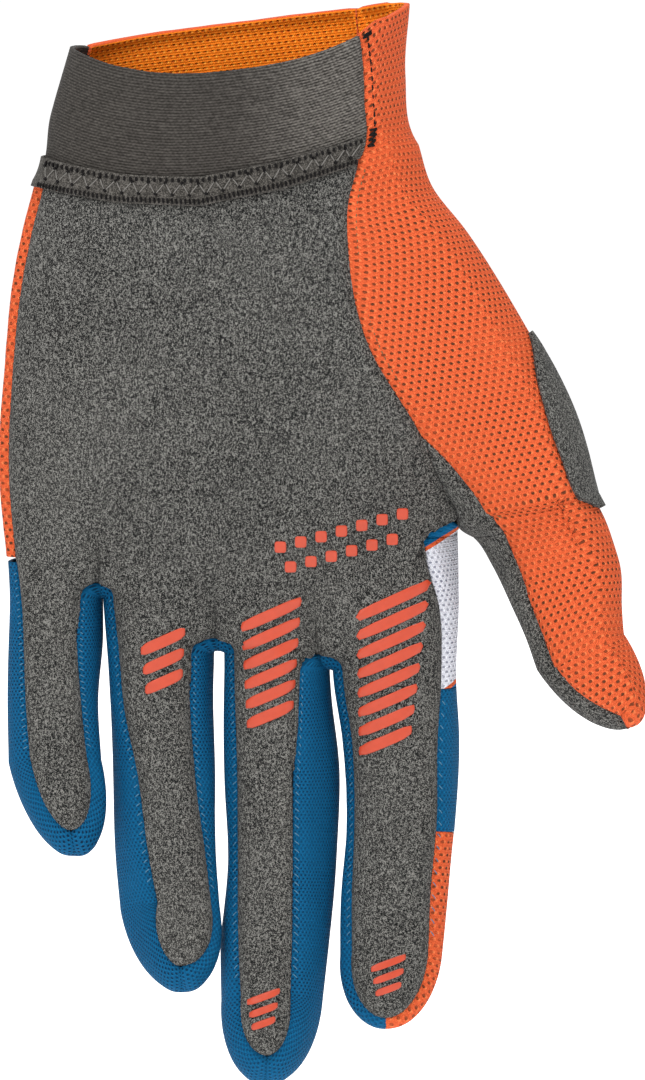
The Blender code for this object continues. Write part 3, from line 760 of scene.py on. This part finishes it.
def suedeMaterial(name, look):
    grain = look["grain"]
    paint = Paint(name, 0.93, sheen=0.04, specular=0.12)
    fine = paint.noise(grain, 2.5, 0.65)
    coarse = paint.noise(grain * 0.45, 2.0, 0.6, stretch=(1.0, 1.0, 0.7))
    cloud = paint.noise(38, 2.0, 0.5)
    both = paint.math("ADD", paint.math("MULTIPLY", fine, 0.66), paint.math("MULTIPLY", coarse, 0.34))
    shade = paint.step(both, 0.468, 0.588)
    lifted = paint.math("ADD", shade, paint.math("MULTIPLY", paint.math("SUBTRACT", cloud, 0.5), 0.22))
    colour = paint.blend(lifted, look["dark"], look["pale"])
    return paint.finish(colour, both, look["depth"])


# Knitted mesh with staggered pits darkened by painted shade, and a painted highlight beside each: sizes in
# metres
orange = {"yarn": (0.70, 0.108, 0.032), "pitPaintedShade": (0.085, 0.030, 0.012), "paintedHighlight": (0.92, 0.26, 0.09),
          "across": 0.00165, "down": 0.00145, "wide": 0.00066, "high": 0.00056, "depth": 0.00040}


# Where the index finger's side changes colour: a slanted line, given as X, Z and slope
sideZones = {"top": (0.0493, -0.1040, 0.55), "bottom": (0.0490, -0.1387, 0.62),
             "trim": 0.0010, "trimColour": (0.75, 0.12, 0.035), "topColour": (0.001, 0.098, 0.235)}


# The white side's colour, with a trimmed edge in orange and blue beyond it at both ends
def zonedColour(paint, colour):
    apart = paint.nodes.new("ShaderNodeSeparateXYZ")
    paint.links.new(paint.place["Object"], apart.inputs[0])

    def above(zone, shift):
        x, z, slope = sideZones[zone]
        line = paint.math("MULTIPLY_ADD", paint.math("SUBTRACT", apart.outputs[0], x), slope, z + shift)
        return paint.math("GREATER_THAN", apart.outputs[2], line)

    fibre = paint.noise(2600, 2.0, 0.6)
    trim = paint.blend(fibre, tuple(0.6 * c for c in sideZones["trimColour"]), sideZones["trimColour"])
    colour = paint.blend(above("top", -0.0022), colour, trim)
    colour = paint.blend(above("top", -0.0022 + sideZones["trim"]), colour, sideZones["topColour"])
    colour = paint.blend(above("bottom", 0.0), trim, colour)
    return paint.blend(above("bottom", -sideZones["trim"]), sideZones["topColour"], colour)


def meshMaterial(name, look):
    paint = Paint(name, 0.80, specular=0.12)
    u, v = paint.texture()
    wobble = paint.math("MULTIPLY", paint.math("SUBTRACT", paint.noise(420, 1.0), 0.5), 0.00035)
    u = paint.math("ADD", u, wobble)
    # Painted shade in the pits: these dots darken the colour in each of the pits, more strongly where a slow
    # noise is high
    pitPaintedShade = paint.dots(u, v, look["across"], look["down"], look["wide"], look["high"], 0.45)
    # Painted highlight: a paler oval just beside each of the pits, mixed into the colour
    beside = paint.math("ADD", u, -0.30 * look["across"])
    paintedHighlight = paint.dots(beside, v, look["across"], look["down"], look["wide"] * 0.8, look["high"] * 1.1, 0.6)
    fibre = paint.noise(3600, 2.0, 0.7)
    yarnAcross, yarnDown = look["across"] / 3, look["down"] / 2
    weave = paint.dots(u, v, yarnAcross, yarnDown, look["across"] / 3.4, look["down"] / 2.6, 0.6)
    tone = paint.noise(60, 2.0, 0.5)
    colour = paint.blend(paint.step(fibre, 0.30, 0.75), tuple(0.72 * c for c in look["yarn"]), look["yarn"])
    colour = paint.blend(paint.math("MULTIPLY", paintedHighlight, 0.45), colour, look["paintedHighlight"])
    strength = paint.step(tone, 0.18, 0.60)
    colour = paint.blend(paint.math("MULTIPLY", pitPaintedShade, strength), colour, look["pitPaintedShade"])
    if look.get("zoned"):
        colour = zonedColour(paint, colour)
    height = paint.math("SUBTRACT", paint.math("MULTIPLY", weave, 0.35), pitPaintedShade)
    height = paint.math("ADD", height, paint.math("MULTIPLY", fibre, 0.25))
    return paint.finish(colour, height, look["depth"])


# Narrow woven elastic: fine ribs across, a row of pinholes under its top edge darkened by painted shade, and
# painted light that makes it paler towards its right
elastic = {"dark": (0.016, 0.014, 0.012), "pale": (0.082, 0.074, 0.066), "paleRightPaintedLight": (0.225, 0.208, 0.188),
           "turns": (-0.004, 0.026), "rib": 0.00062}


def elasticMaterial(name):
    paint = Paint(name, 0.88, sheen=0.03, specular=0.15)
    u, v = paint.texture()
    rib = paint.math("SINE", paint.math("MULTIPLY", v, 2 * math.pi / elastic["rib"]))
    rib = paint.math("ADD", paint.math("MULTIPLY", rib, 0.5), 0.5)
    cross = paint.dots(u, v, 0.0009, elastic["rib"], 0.0006, 0.0005, 0.7)
    fibre = paint.noise(2600, 2.0, 0.7, stretch=(0.35, 0.35, 1))
    shade = paint.math("ADD", paint.math("MULTIPLY", rib, 0.22), paint.math("MULTIPLY", fibre, 0.75))
    shade = paint.math("ADD", shade, paint.math("MULTIPLY", cross, 0.12))
    apart = paint.nodes.new("ShaderNodeSeparateXYZ")
    paint.links.new(paint.place["Object"], apart.inputs[0])
    # Painted light: the pale fibres grow paler from left to right over the given X span, as if lit from the
    # right
    paintedLightToRight = paint.step(apart.outputs[0], *elastic["turns"])
    pale = paint.blend(paintedLightToRight, elastic["pale"], elastic["paleRightPaintedLight"])
    colour = paint.blend(paint.step(shade, 0.30, 0.95), elastic["dark"], pale)
    # Painted shade in the pinholes: near-black dots in a row under the top edge
    pinholesPaintedShade = paint.dots(u, paint.math("SUBTRACT", v, 0.0019), 0.0024, 0.0500, 0.0007, 0.0007, 0.4, 0.0)
    colour = paint.blend(paint.math("MULTIPLY", pinholesPaintedShade, 0.8), colour, (0.008, 0.007, 0.006))
    height = paint.math("SUBTRACT", shade, pinholesPaintedShade)
    return paint.finish(colour, height, 0.00022)


# Plain thread, with a twist along it
def threadMaterial(name, colour, roughness=0.6):
    paint = Paint(name, roughness, specular=0.12)
    fibre = paint.noise(5200, 1.0, 0.5, stretch=(1, 1, 0.4))
    return paint.finish(paint.blend(fibre, tuple(0.55 * c for c in colour), colour), fibre, 0.00005)


# Moulded silicone, slightly glossy with a faint mottle
def siliconeMaterial(name, colour):
    paint = Paint(name, 0.42, specular=0.45)
    mottle = paint.noise(700, 2.0, 0.5)
    return paint.finish(paint.blend(mottle, tuple(0.8 * c for c in colour), colour), mottle, 0.00004)


# Blue, white and lining meshes: each one's dark colour in the pits is painted shade, and its pale colour
# beside them a painted highlight
blue = {"yarn": (0.001, 0.094, 0.226), "pitPaintedShade": (0.0, 0.014, 0.045), "paintedHighlight": (0.003, 0.164, 0.338),
        "across": 0.00085, "down": 0.00075, "wide": 0.00042, "high": 0.00036, "depth": 0.00022}
white = {"yarn": (0.70, 0.71, 0.78), "pitPaintedShade": (0.16, 0.17, 0.24), "paintedHighlight": (0.90, 0.91, 0.96),
         "across": 0.00125, "down": 0.00105, "wide": 0.00056, "high": 0.00044, "depth": 0.00025,
         "zoned": True}
lining = {"yarn": (1.0, 0.225, 0.010), "pitPaintedShade": (0.50, 0.070, 0.005), "paintedHighlight": (1.0, 0.55, 0.08),
          "across": 0.00150, "down": 0.00120, "wide": 0.00060, "high": 0.00044, "depth": 0.00035}

paints = {
    "suede": suedeMaterial("suede", suede),
    "orange": meshMaterial("orangeMesh", orange),
    "lining": meshMaterial("orangeInside", lining),
    "blue": meshMaterial("blueMesh", blue),
    "white": meshMaterial("whiteMesh", white),
    "elastic": elasticMaterial("elastic"),
    "band": suedeMaterial("bandWeave", bandWeave),
    "blackThread": threadMaterial("blackThread", (0.007, 0.006, 0.006)),
    "paleThread": threadMaterial("paleThread", (0.20, 0.19, 0.175)),
    "blueThread": threadMaterial("blueThread", (0.10, 0.24, 0.36)),
    "oliveThread": threadMaterial("oliveThread", (0.20, 0.13, 0.06)),
    "grip": siliconeMaterial("gripPrint", (0.50, 0.052, 0.017)),
}
print("materials ready")

# How cloth behaves at its edges, in millimetres, and how long its ripples are, in metres
soft = {"turnIn": 0.75, "turnWidth": 1.1, "puff": 0.22, "ripple": 0.28, "rippleSize": 0.030, "pucker": 0.10}
flat = dict(soft, turnIn=0.25, puff=0.05, ripple=0.10)


# Share of the thumb strip's breadth where the palm ends and the orange mesh starts
def thumbShares(rows):
    seamRows, shares = zip(*thumbSeam)
    return np.where(rows < seamRows[0], 0, smooth(rows, seamRows, shares))


# Grey palm: the palm sides of the four fingers, the web and the strip beside it on the thumb
def palmPanel():
    columns = detail["columns"]
    grids = stripsOf(range(4), fromCuffEnd, columns, True)
    rows = fromCuffEnd[fromCuffEnd >= thumbSeam[0][0] - 1e-6]
    grids.append(strip(4, rows, 0, thumbShares(rows), 10, True))
    grids.append(ribbon(downSide(4, 0, digitRows), 0, gap))
    return pieceOf("palmPanel", grids, [paints["suede"]], soft, ["palm_panel"])


# Orange mesh round the thumb and up to the rim; its texture runs on from the palm side to the back
def thumbPanel():
    seam = hand["thumbSeamGap"] / breadthAt(4, fromRim)
    fromSeam = thumbShares(fromRim)
    down = runningLength(skin(4, fromRim, 0.6), 0)
    back = strip(4, fromRim, np.where(fromRim <= 0, seam, 0), 1, 24, False, wall, 0.0, down)
    grids = [strip(4, fromRim, fromSeam + seam, 1, 30, True, wall, 0.0, down), back]
    side = ribbon((4, fromRim, np.ones(len(fromRim))), 0, 0)
    grids[0][1][..., 0] -= grids[0][1][:, -1:, 0]
    back[1][..., 0] = back[1][:, -1:, 0] - back[1][..., 0] + side[1][:, -1:, 0]
    overTip = np.linspace(0.5 + seam[-1], 1, 4)
    tip = ribbon((4, np.full(4, 2.0), overTip), 0, 0)
    grids.append(turnedRound(side)[:2] + (False,))
    grids.append(tip[:2] + (False,))
    twoSided = [paints["orange"], paints["lining"]]
    return pieceOf("thumbPanel", grids, twoSided, soft, ["thumb_panel"])


# Orange mesh back, round to the palm's seam at the hand's edge and at the index finger's end
def backPanel():
    grids = stripsOf(range(4), fromRim, detail["backColumns"], False)
    edge = ribbon((0, handRows, np.zeros(len(handRows))), gap, 0)
    grids.append(edge)
    rows = np.append([sideEnds["orange"]], digitRows[digitRows > sideEnds["orange"]])
    grids.append(turnedRound(ribbon(downSide(3, 1, rows), gap, 0)))
    twoSided = [paints["orange"], paints["lining"]]
    return pieceOf("backPanel", grids, twoSided, soft, ["back_panel"])


# Blue strip between two fingers: down one side of each, joined at the fork
def forkPiece(name, number, node):
    up = turnedRound(ribbon(downSide(number, 1, digitRows), gap, gap))
    down = ribbon(downSide(number + 1, 0, digitRows), gap, gap)
    return pieceOf(name, [joined(up, down)], [paints["blue"]], dict(soft, ripple=0.2), [node])


# A strip on the outer side of a finger
def sidePiece(name, number, side, rows, paint, node, toTip=False):
    path = downSide(number, side, rows) if toTip else (number, rows, np.full(len(rows), float(side)))
    grid = ribbon(path, gap, gap)
    if side:
        grid = turnedRound(grid)
    return pieceOf(name, [grid], [paints[paint]], dict(soft, ripple=0.1), [node])


# Dark elastic on the palm side of the wrist, from the rim to the cuff's end
def cuffElastic():
    rows = cuffRows.copy()
    rows[-1] -= gap / hand["cuffHeight"]
    grids = stripsOf(range(4), rows, 24, True)
    grids.append(ribbon((0, rows, np.zeros(len(rows))), 0, gap))
    look = dict(flat, ripple=0.12)
    return pieceOf("cuffElastic", grids, [paints["elastic"]], look, ["cuff_elastic"])


# Band over the elastic's lower edge, a little off the cloth under it
band = {"clear": 0.0004, "thickness": 0.0006, "lastRow": -0.99, "rows": 12}


def cuffBand():
    rows = np.linspace(-1 - hand["bandHeight"] / hand["cuffHeight"], band["lastRow"], band["rows"])
    over = -band["clear"]
    end = 1 - gap / breadthAt(3, rows)
    grids = stripsOf(range(4), rows, 24, True, over, end)
    grids.append(ribbon((0, rows, np.zeros(len(rows))), 0, gap, over))
    return pieceOf("cuffBand", grids, [paints["band"]], flat, ["cuff_band"], band["thickness"])


# Grey patch on the thumb's outer side, a little off the mesh; its edges come from the patch's own table
def thumbPatch():
    knots, starts, ends = zip(*patchEdges)
    rows = rowsBetween(knots[0], knots[-1], 0.050)
    limits = smooth(rows, knots, starts), smooth(rows, knots, ends)
    grid = ribbon((4, rows, np.ones(len(rows))), 0, 0, -hand["overlayGap"], limits, 20)
    grids = [turnedRound(grid)]
    return pieceOf("thumbPatch", grids, [paints["suede"]], flat, ["thumb_patch"], 0.0009)


# Rows where the index finger's side turns from white to blue and from blue to orange, and where
# the little finger's side starts
sideEnds = {"white": (0.020, 0.443), "blue": (0.445, 0.746), "orange": 0.7466, "little": 0.0005}

palm = palmPanel()
thumbPanel()
backPanel()
cuffElastic()
cuffBand()
thumbPatch()
sideRows = np.append([sideEnds["little"]], digitRows[digitRows > 0.006])
sidePiece("littleSide", 0, 0, sideRows, "blue", "little_side", True)
forkPiece("forkLittleRing", 0, "fork_little_ring")
forkPiece("forkRingMiddle", 1, "fork_ring_middle")
forkPiece("forkMiddleIndex", 2, "fork_middle_index")
whiteRows = rowsBetween(*sideEnds["white"], 0.036)
blueRows = rowsBetween(*sideEnds["blue"], 0.032)
sidePiece("indexSideWhite", 3, 1, whiteRows, "white", "index_side_white")
sidePiece("indexSideBlue", 3, 1, blueRows, "blue", "index_side_blue")


# A point of the palm side at the cuff, place running 0 to 4 over the four strips
def alongCuff(row, place, inset):
    row, place = np.broadcast_arrays(np.asarray(row, float), np.asarray(place, float))
    points = np.zeros(row.shape + (3,))
    for number in range(4):
        here = (np.clip(np.floor(place), 0, 3) == number)
        points[here] = skin(number, row[here], place[here] - number, True, inset)
    return points


# Places spaced evenly along the cuff: the running length is measured and turned round
def evenPlaces(row, pitch, start=0.02, end=3.97):
    fine = np.linspace(start, end, 400)
    length = runningLength(alongCuff(row, fine, 0.0), 0)
    count = int(length[-1] / pitch)
    return np.interp(np.arange(count + 1) * length[-1] / count, length, fine)


# Rows of the stitches on the band, their heights as shares of the cuff's, and pitches in metres
bandStitches = {"inset": -0.0011, "top": -1.180, "ladderTop": 0.036, "bottom": -1.018,
                "ladderBottom": 0.026, "zigTop": -1.142, "zigBottom": -1.045, "zigPitch": 0.0036,
                "dashPitch": 0.0013, "densePitch": 0.00095}


# Dark ladders along both edges of the band, and a pale zigzag between them with a dark knot at each corner
def stitchBand():
    look = bandStitches
    inset = look["inset"]

    def dashes(name, row, height, pitch, radius, lean=0.0):
        places = evenPlaces(row, pitch)
        starts = alongCuff(row, places, inset)
        ends = alongCuff(row + height, places + lean, inset)
        lift = starts - alongCuff(row, places, inset + 0.001)
        threads(name, starts, ends, lift, radius, paints["blackThread"])

    dashes("bandTopLadder", look["top"], look["ladderTop"], look["dashPitch"], 0.00030, 0.01)
    dashes("bandBottomLadder", look["bottom"], look["ladderBottom"], look["densePitch"], 0.00025, 0.012)
    places = evenPlaces(-1.1, look["zigPitch"] / 2)
    row = np.where(np.arange(len(places)) % 2 == 0, look["zigTop"], look["zigBottom"])
    corners = alongCuff(row, places, inset)
    lift = corners - alongCuff(row, places, inset + 0.001)
    threads("bandZigzag", corners[:-1], corners[1:], lift[:-1], 0.00013, paints["paleThread"])
    small = (corners[1:] - corners[:-1]) * 0.12
    starts, ends = corners[:-1] - small * 0.6, corners[:-1] + small
    threads("bandKnots", starts, ends, lift[:-1], 0.00038, paints["blackThread"])


# Stitches that hold the mesh's fold beside the elastic, in metres from its edge and down it
cuffFold = {"line": 0.0023, "dash": 0.0017, "pitch": 0.0024, "bar": 0.0022, "tackRow": -1.21,
            "tackHeight": 0.0046, "tackWidth": 0.0017}


# A point on the orange mesh, an offset in metres from its edge beside the palm and the elastic
def thumbEdgePoint(row, offset, inset=0.0):
    share = thumbShares(row) + offset / breadthAt(4, row)
    return skin(4, row, share, True, inset)


# A line of dashes down the fold, a short bar across its top and a zigzag tack at its end
def stitchFold():
    look = cuffFold
    down = np.arange(-1.97, -1.06, look["pitch"] / hand["cuffHeight"])
    starts = thumbEdgePoint(down, look["line"])
    ends = thumbEdgePoint(down + look["dash"] / hand["cuffHeight"], look["line"])
    lift = starts - thumbEdgePoint(down, look["line"], 0.001)
    threads("foldStitches", starts, ends, lift, 0.00021, paints["blackThread"])
    bars = np.array([-1.985, -1.972, -1.959])
    starts, ends = (thumbEdgePoint(bars, look["line"] + side * look["bar"] / 2) for side in (-1, 1))
    lift = starts - thumbEdgePoint(bars, look["line"], 0.001)
    threads("foldBar", starts, ends, lift, 0.00018, paints["blackThread"])
    steps = np.arange(8)
    rows = look["tackRow"] + steps / steps[-1] * look["tackHeight"] / hand["cuffHeight"]
    sides = np.where(steps % 2 == 0, -0.5, 0.5) * look["tackWidth"]
    corners = thumbEdgePoint(rows, look["line"] * 0.9 + sides)
    lift = corners - thumbEdgePoint(rows, look["line"] * 0.9 + sides, 0.001)
    threads("barTack", corners[:-1], corners[1:], lift[:-1], 0.00024, paints["blackThread"])


# Small olive dashes on the mesh beside the palm's seam: rows, and metres from the seam
seamStitches = {"first": -0.97, "last": 0.86, "pitch": 0.017, "dash": 0.009, "line": 0.0022}


def stitchThumbSeam():
    look = seamStitches
    rows = np.arange(look["first"], look["last"], look["pitch"])
    starts = thumbEdgePoint(rows, look["line"])
    ends = thumbEdgePoint(rows + look["dash"], look["line"])
    lift = starts - thumbEdgePoint(rows, look["line"], 0.001)
    threads("thumbSeamStitches", starts, ends, lift, 0.00013, paints["oliveThread"])


# Small threads that cross the seams between the palm side and the fingers' sides
fingerStitches = {"pitch": 0.0021, "inner": 0.0003, "outer": 0.0006, "lean": 0.010, "radius": 0.00010,
                  "first": 0.10, "last": 0.96}


def stitchFingers():
    look = fingerStitches
    starts, ends, lifts = [], [], []
    for number, side in [(number, side) for number in range(4) for side in (0, 1)]:
        first = {(0, 0): 0.05, (3, 1): 0.46}.get((number, side), look["first"])
        rows = np.arange(first, look["last"], look["pitch"] / digits[number]["length"])
        shares = np.full(len(rows), float(side))
        inner = look["inner"] / breadthAt(number, rows) * (1 if side == 0 else -1)
        middle = outlineOf(number, rows, shares, 0.0)
        reach = np.linalg.norm(skin(number, rows, shares, True, 0.0) - middle, axis=-1)
        outer = look["outer"] / (2 * reach)
        grid = ribbon((number, rows + look["lean"], shares), 0, 0, 0.0, (outer * 0.5, outer), 1)[0]
        starts.append(skin(number, rows, shares + inner, True, 0.0))
        ends.append(grid[:, 1])
        lifts.append(starts[-1] - skin(number, rows, shares + inner, True, 0.001))
    starts, ends, lifts = (np.concatenate(part) for part in (starts, ends, lifts))
    threads("fingerSeamStitches", starts, ends, lifts, look["radius"], paints["blueThread"])


stitchBand()
stitchFold()
stitchThumbSeam()
stitchFingers()


# Raised grip marks in silicone: rounded bars on the finger bases and tips, small studs above them.
# Each row is X and Z of the first mark, half its width and height, tilt in degrees, how many,
# the step to the next in X and Z, and how much narrower each one is, all in millimetres.
gripRows = (
    (34.5, -121.0, 8.2, 1.35, 24, 8, (-0.25, -4.4), 0.35),
    (8.0, -124.0, 6.6, 1.35, 24, 6, (-0.05, -4.4), 0.30),
    (-15.5, -130.0, 4.8, 1.35, 24, 3, (0.1, -4.4), 0.35),
    (10.0, -109.0, 1.25, 1.25, 0, 7, (4.4, 1.15), 0.0),
    (12.2, -113.4, 1.25, 1.25, 0, 6, (4.4, 1.15), 0.0),
    (6.3, -206.5, 3.6, 0.8, 20, 3, (0.0, -2.8), 0.5),
    (33.4, -199.5, 3.8, 0.8, 20, 3, (0.0, -2.8), 0.5),
)
grip = {"height": 0.00030, "corner": 5.0}


# Each mark is a rounded oblong, |x/wide|^n + |z/high|^n = 1, sheared by its tilt, laid on the palm
# and raised from it
def gripPrint():
    marks = []
    for x, z, wide, high, tilt, count, step, less in gripRows:
        k = np.arange(count)
        same = np.zeros(count)
        mark = [x + k * step[0], z + k * step[1], wide - k * less, same + high, same + tilt]
        marks.append(np.stack(mark, axis=-1))
    marks = np.concatenate(marks)
    x, z, wide, high = (marks[:, k, None, None] * 0.001 for k in range(4))
    tilt = np.radians(marks[:, 4, None, None])
    angle = np.linspace(0, 2 * math.pi, 41)[None, None, :]
    ring = np.array([0.0, 0.35, 0.7, 0.9, 0.97, 1.0, 1.02])[None, :, None]
    rise = np.array([1.0, 1.0, 1.0, 0.95, 0.7, 0.2, -0.6])[None, :, None] * grip["height"]
    n = grip["corner"]
    reach = (np.abs(np.cos(angle) / wide) ** n + np.abs(np.sin(angle) / high) ** n) ** (-1 / n)
    away = reach * ring
    px = away * np.cos(angle)
    pz = away * np.sin(angle) + px * np.tan(tilt)
    points = np.stack([x + px, np.full_like(px, -0.060), z + pz], axis=-1)
    data = bpy.data.meshes.new("gripGuide")
    data.from_pydata(points.reshape(-1, 3), [], [])
    guide = bpy.data.objects.new("gripGuide", data)
    bpy.context.scene.collection.objects.link(guide)
    fit = guide.modifiers.new("OntoPalm", "SHRINKWRAP")
    fit.target = palm
    fit.wrap_method = "PROJECT"
    fit.use_project_y = True
    fit.use_positive_direction = True
    fit.use_negative_direction = False
    bpy.context.view_layer.update()
    fitted = guide.evaluated_get(bpy.context.evaluated_depsgraph_get())
    laid = floatsOf(fitted.data.vertices, "co", 3).reshape(points.shape)
    bpy.data.objects.remove(guide)
    laid[..., 1] -= rise
    grids = [(laid[k], laid[k][..., :2], True) for k in range(len(marks))]
    data = meshOf("gripPrint", grids)
    data.materials.append(paints["grip"])
    data.polygons.foreach_set("use_smooth", np.ones(len(data.polygons), bool))
    piece = bpy.data.objects.new("gripPrint", data)
    bpy.context.scene.collection.objects.link(piece)
    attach(piece, "root")
    print("printed", len(marks))


gripPrint()


# Camera on a long lens, level with the photograph's: the frame is 0.1406 m wide and 0.2354 m high
view = {"target": (0.0191, 0.0, -0.1090), "distance": 1.6, "elevation": 6.0, "height": 0.2354}


# Its lens fills the frame's height at the target's distance
def camera():
    data = bpy.data.cameras.new("camera")
    data.sensor_fit = "VERTICAL"
    data.sensor_height = 24
    data.lens = 24 * view["distance"] / view["height"]
    made = bpy.data.objects.new("camera", data)
    tilt = math.radians(view["elevation"])
    x, y, z = view["target"]
    made.location = (x, y - view["distance"] * math.cos(tilt), z + view["distance"] * math.sin(tilt))
    made.rotation_euler = (math.pi / 2 - tilt, 0, 0)
    bpy.context.scene.collection.objects.link(made)
    bpy.context.scene.camera = made


# A plain pale floor: one large square, bright enough to run into the pale surroundings
studio = {"floor": -0.300, "half": 40.0, "shade": (0.92, 0.92, 0.92), "glow": 0.70, "seen": 1.0}


def paleFloor():
    side = np.array([-studio["half"], studio["half"]])
    x, y = np.meshgrid(side, side)
    points = np.stack([x, y, np.full_like(x, studio["floor"])], axis=-1)
    data = meshOf("floor", [(points, points[..., :2], False)])
    paint = Paint("floorPaper", 0.95)
    data.materials.append(paint.finish(studio["shade"] + (1.0,), paint.noise(900, 2.0), 0.0001))
    paint.shader.inputs["Emission Color"].default_value = (1, 1, 1, 1)
    paint.shader.inputs["Emission Strength"].default_value = studio["glow"]
    made = bpy.data.objects.new("floor", data)
    bpy.context.scene.collection.objects.link(made)


# Soft boxes: name, place, aims at, size and watts
lamps = (
    ("key", (-0.75, -1.25, 0.75), (0.02, 0.0, -0.10), 0.9, 13.4),
    ("fill", (1.25, -1.05, 0.15), (0.02, 0.0, -0.10), 1.0, 3.6),
    ("top", (0.05, -0.35, 1.00), (0.00, 0.0, 0.00), 0.4, 10.0),
    ("rim", (0.10, 1.30, 0.60), (0.02, 0.0, -0.10), 1.2, 9.0),
)
ambient = 0.385


# A square lamp turned so that its own -Z points from its place to its aim
def light(name, place, aim, size, watts):
    data = bpy.data.lights.new(name, "AREA")
    data.size = size
    data.energy = watts
    made = bpy.data.objects.new(name, data)
    made.location = place
    way = np.array(aim) - np.array(place)
    made.rotation_euler = (math.atan2(math.hypot(way[0], way[1]), -way[2]), 0, math.atan2(-way[0], way[1]))
    bpy.context.scene.collection.objects.link(made)


def world():
    made = bpy.data.worlds.new("studio")
    made.use_nodes = True
    made.node_tree.nodes["Background"].inputs["Color"].default_value = (1, 1, 1, 1)
    nodes, links = made.node_tree.nodes, made.node_tree.links
    strength = nodes.new("ShaderNodeMapRange")  # dim where it lights the glove, pale where the lens sees it
    strength.inputs["To Min"].default_value = ambient
    strength.inputs["To Max"].default_value = studio["seen"]
    links.new(nodes.new("ShaderNodeLightPath").outputs["Is Camera Ray"], strength.inputs["Value"])
    links.new(strength.outputs[0], nodes["Background"].inputs["Strength"])
    bpy.context.scene.world = made


bpy.context.scene.view_settings.view_transform = "Standard"
camera()
paleFloor()
for lamp in lamps:
    light(*lamp)
world()
print("stage ready")

bpy.context.view_layer.update()
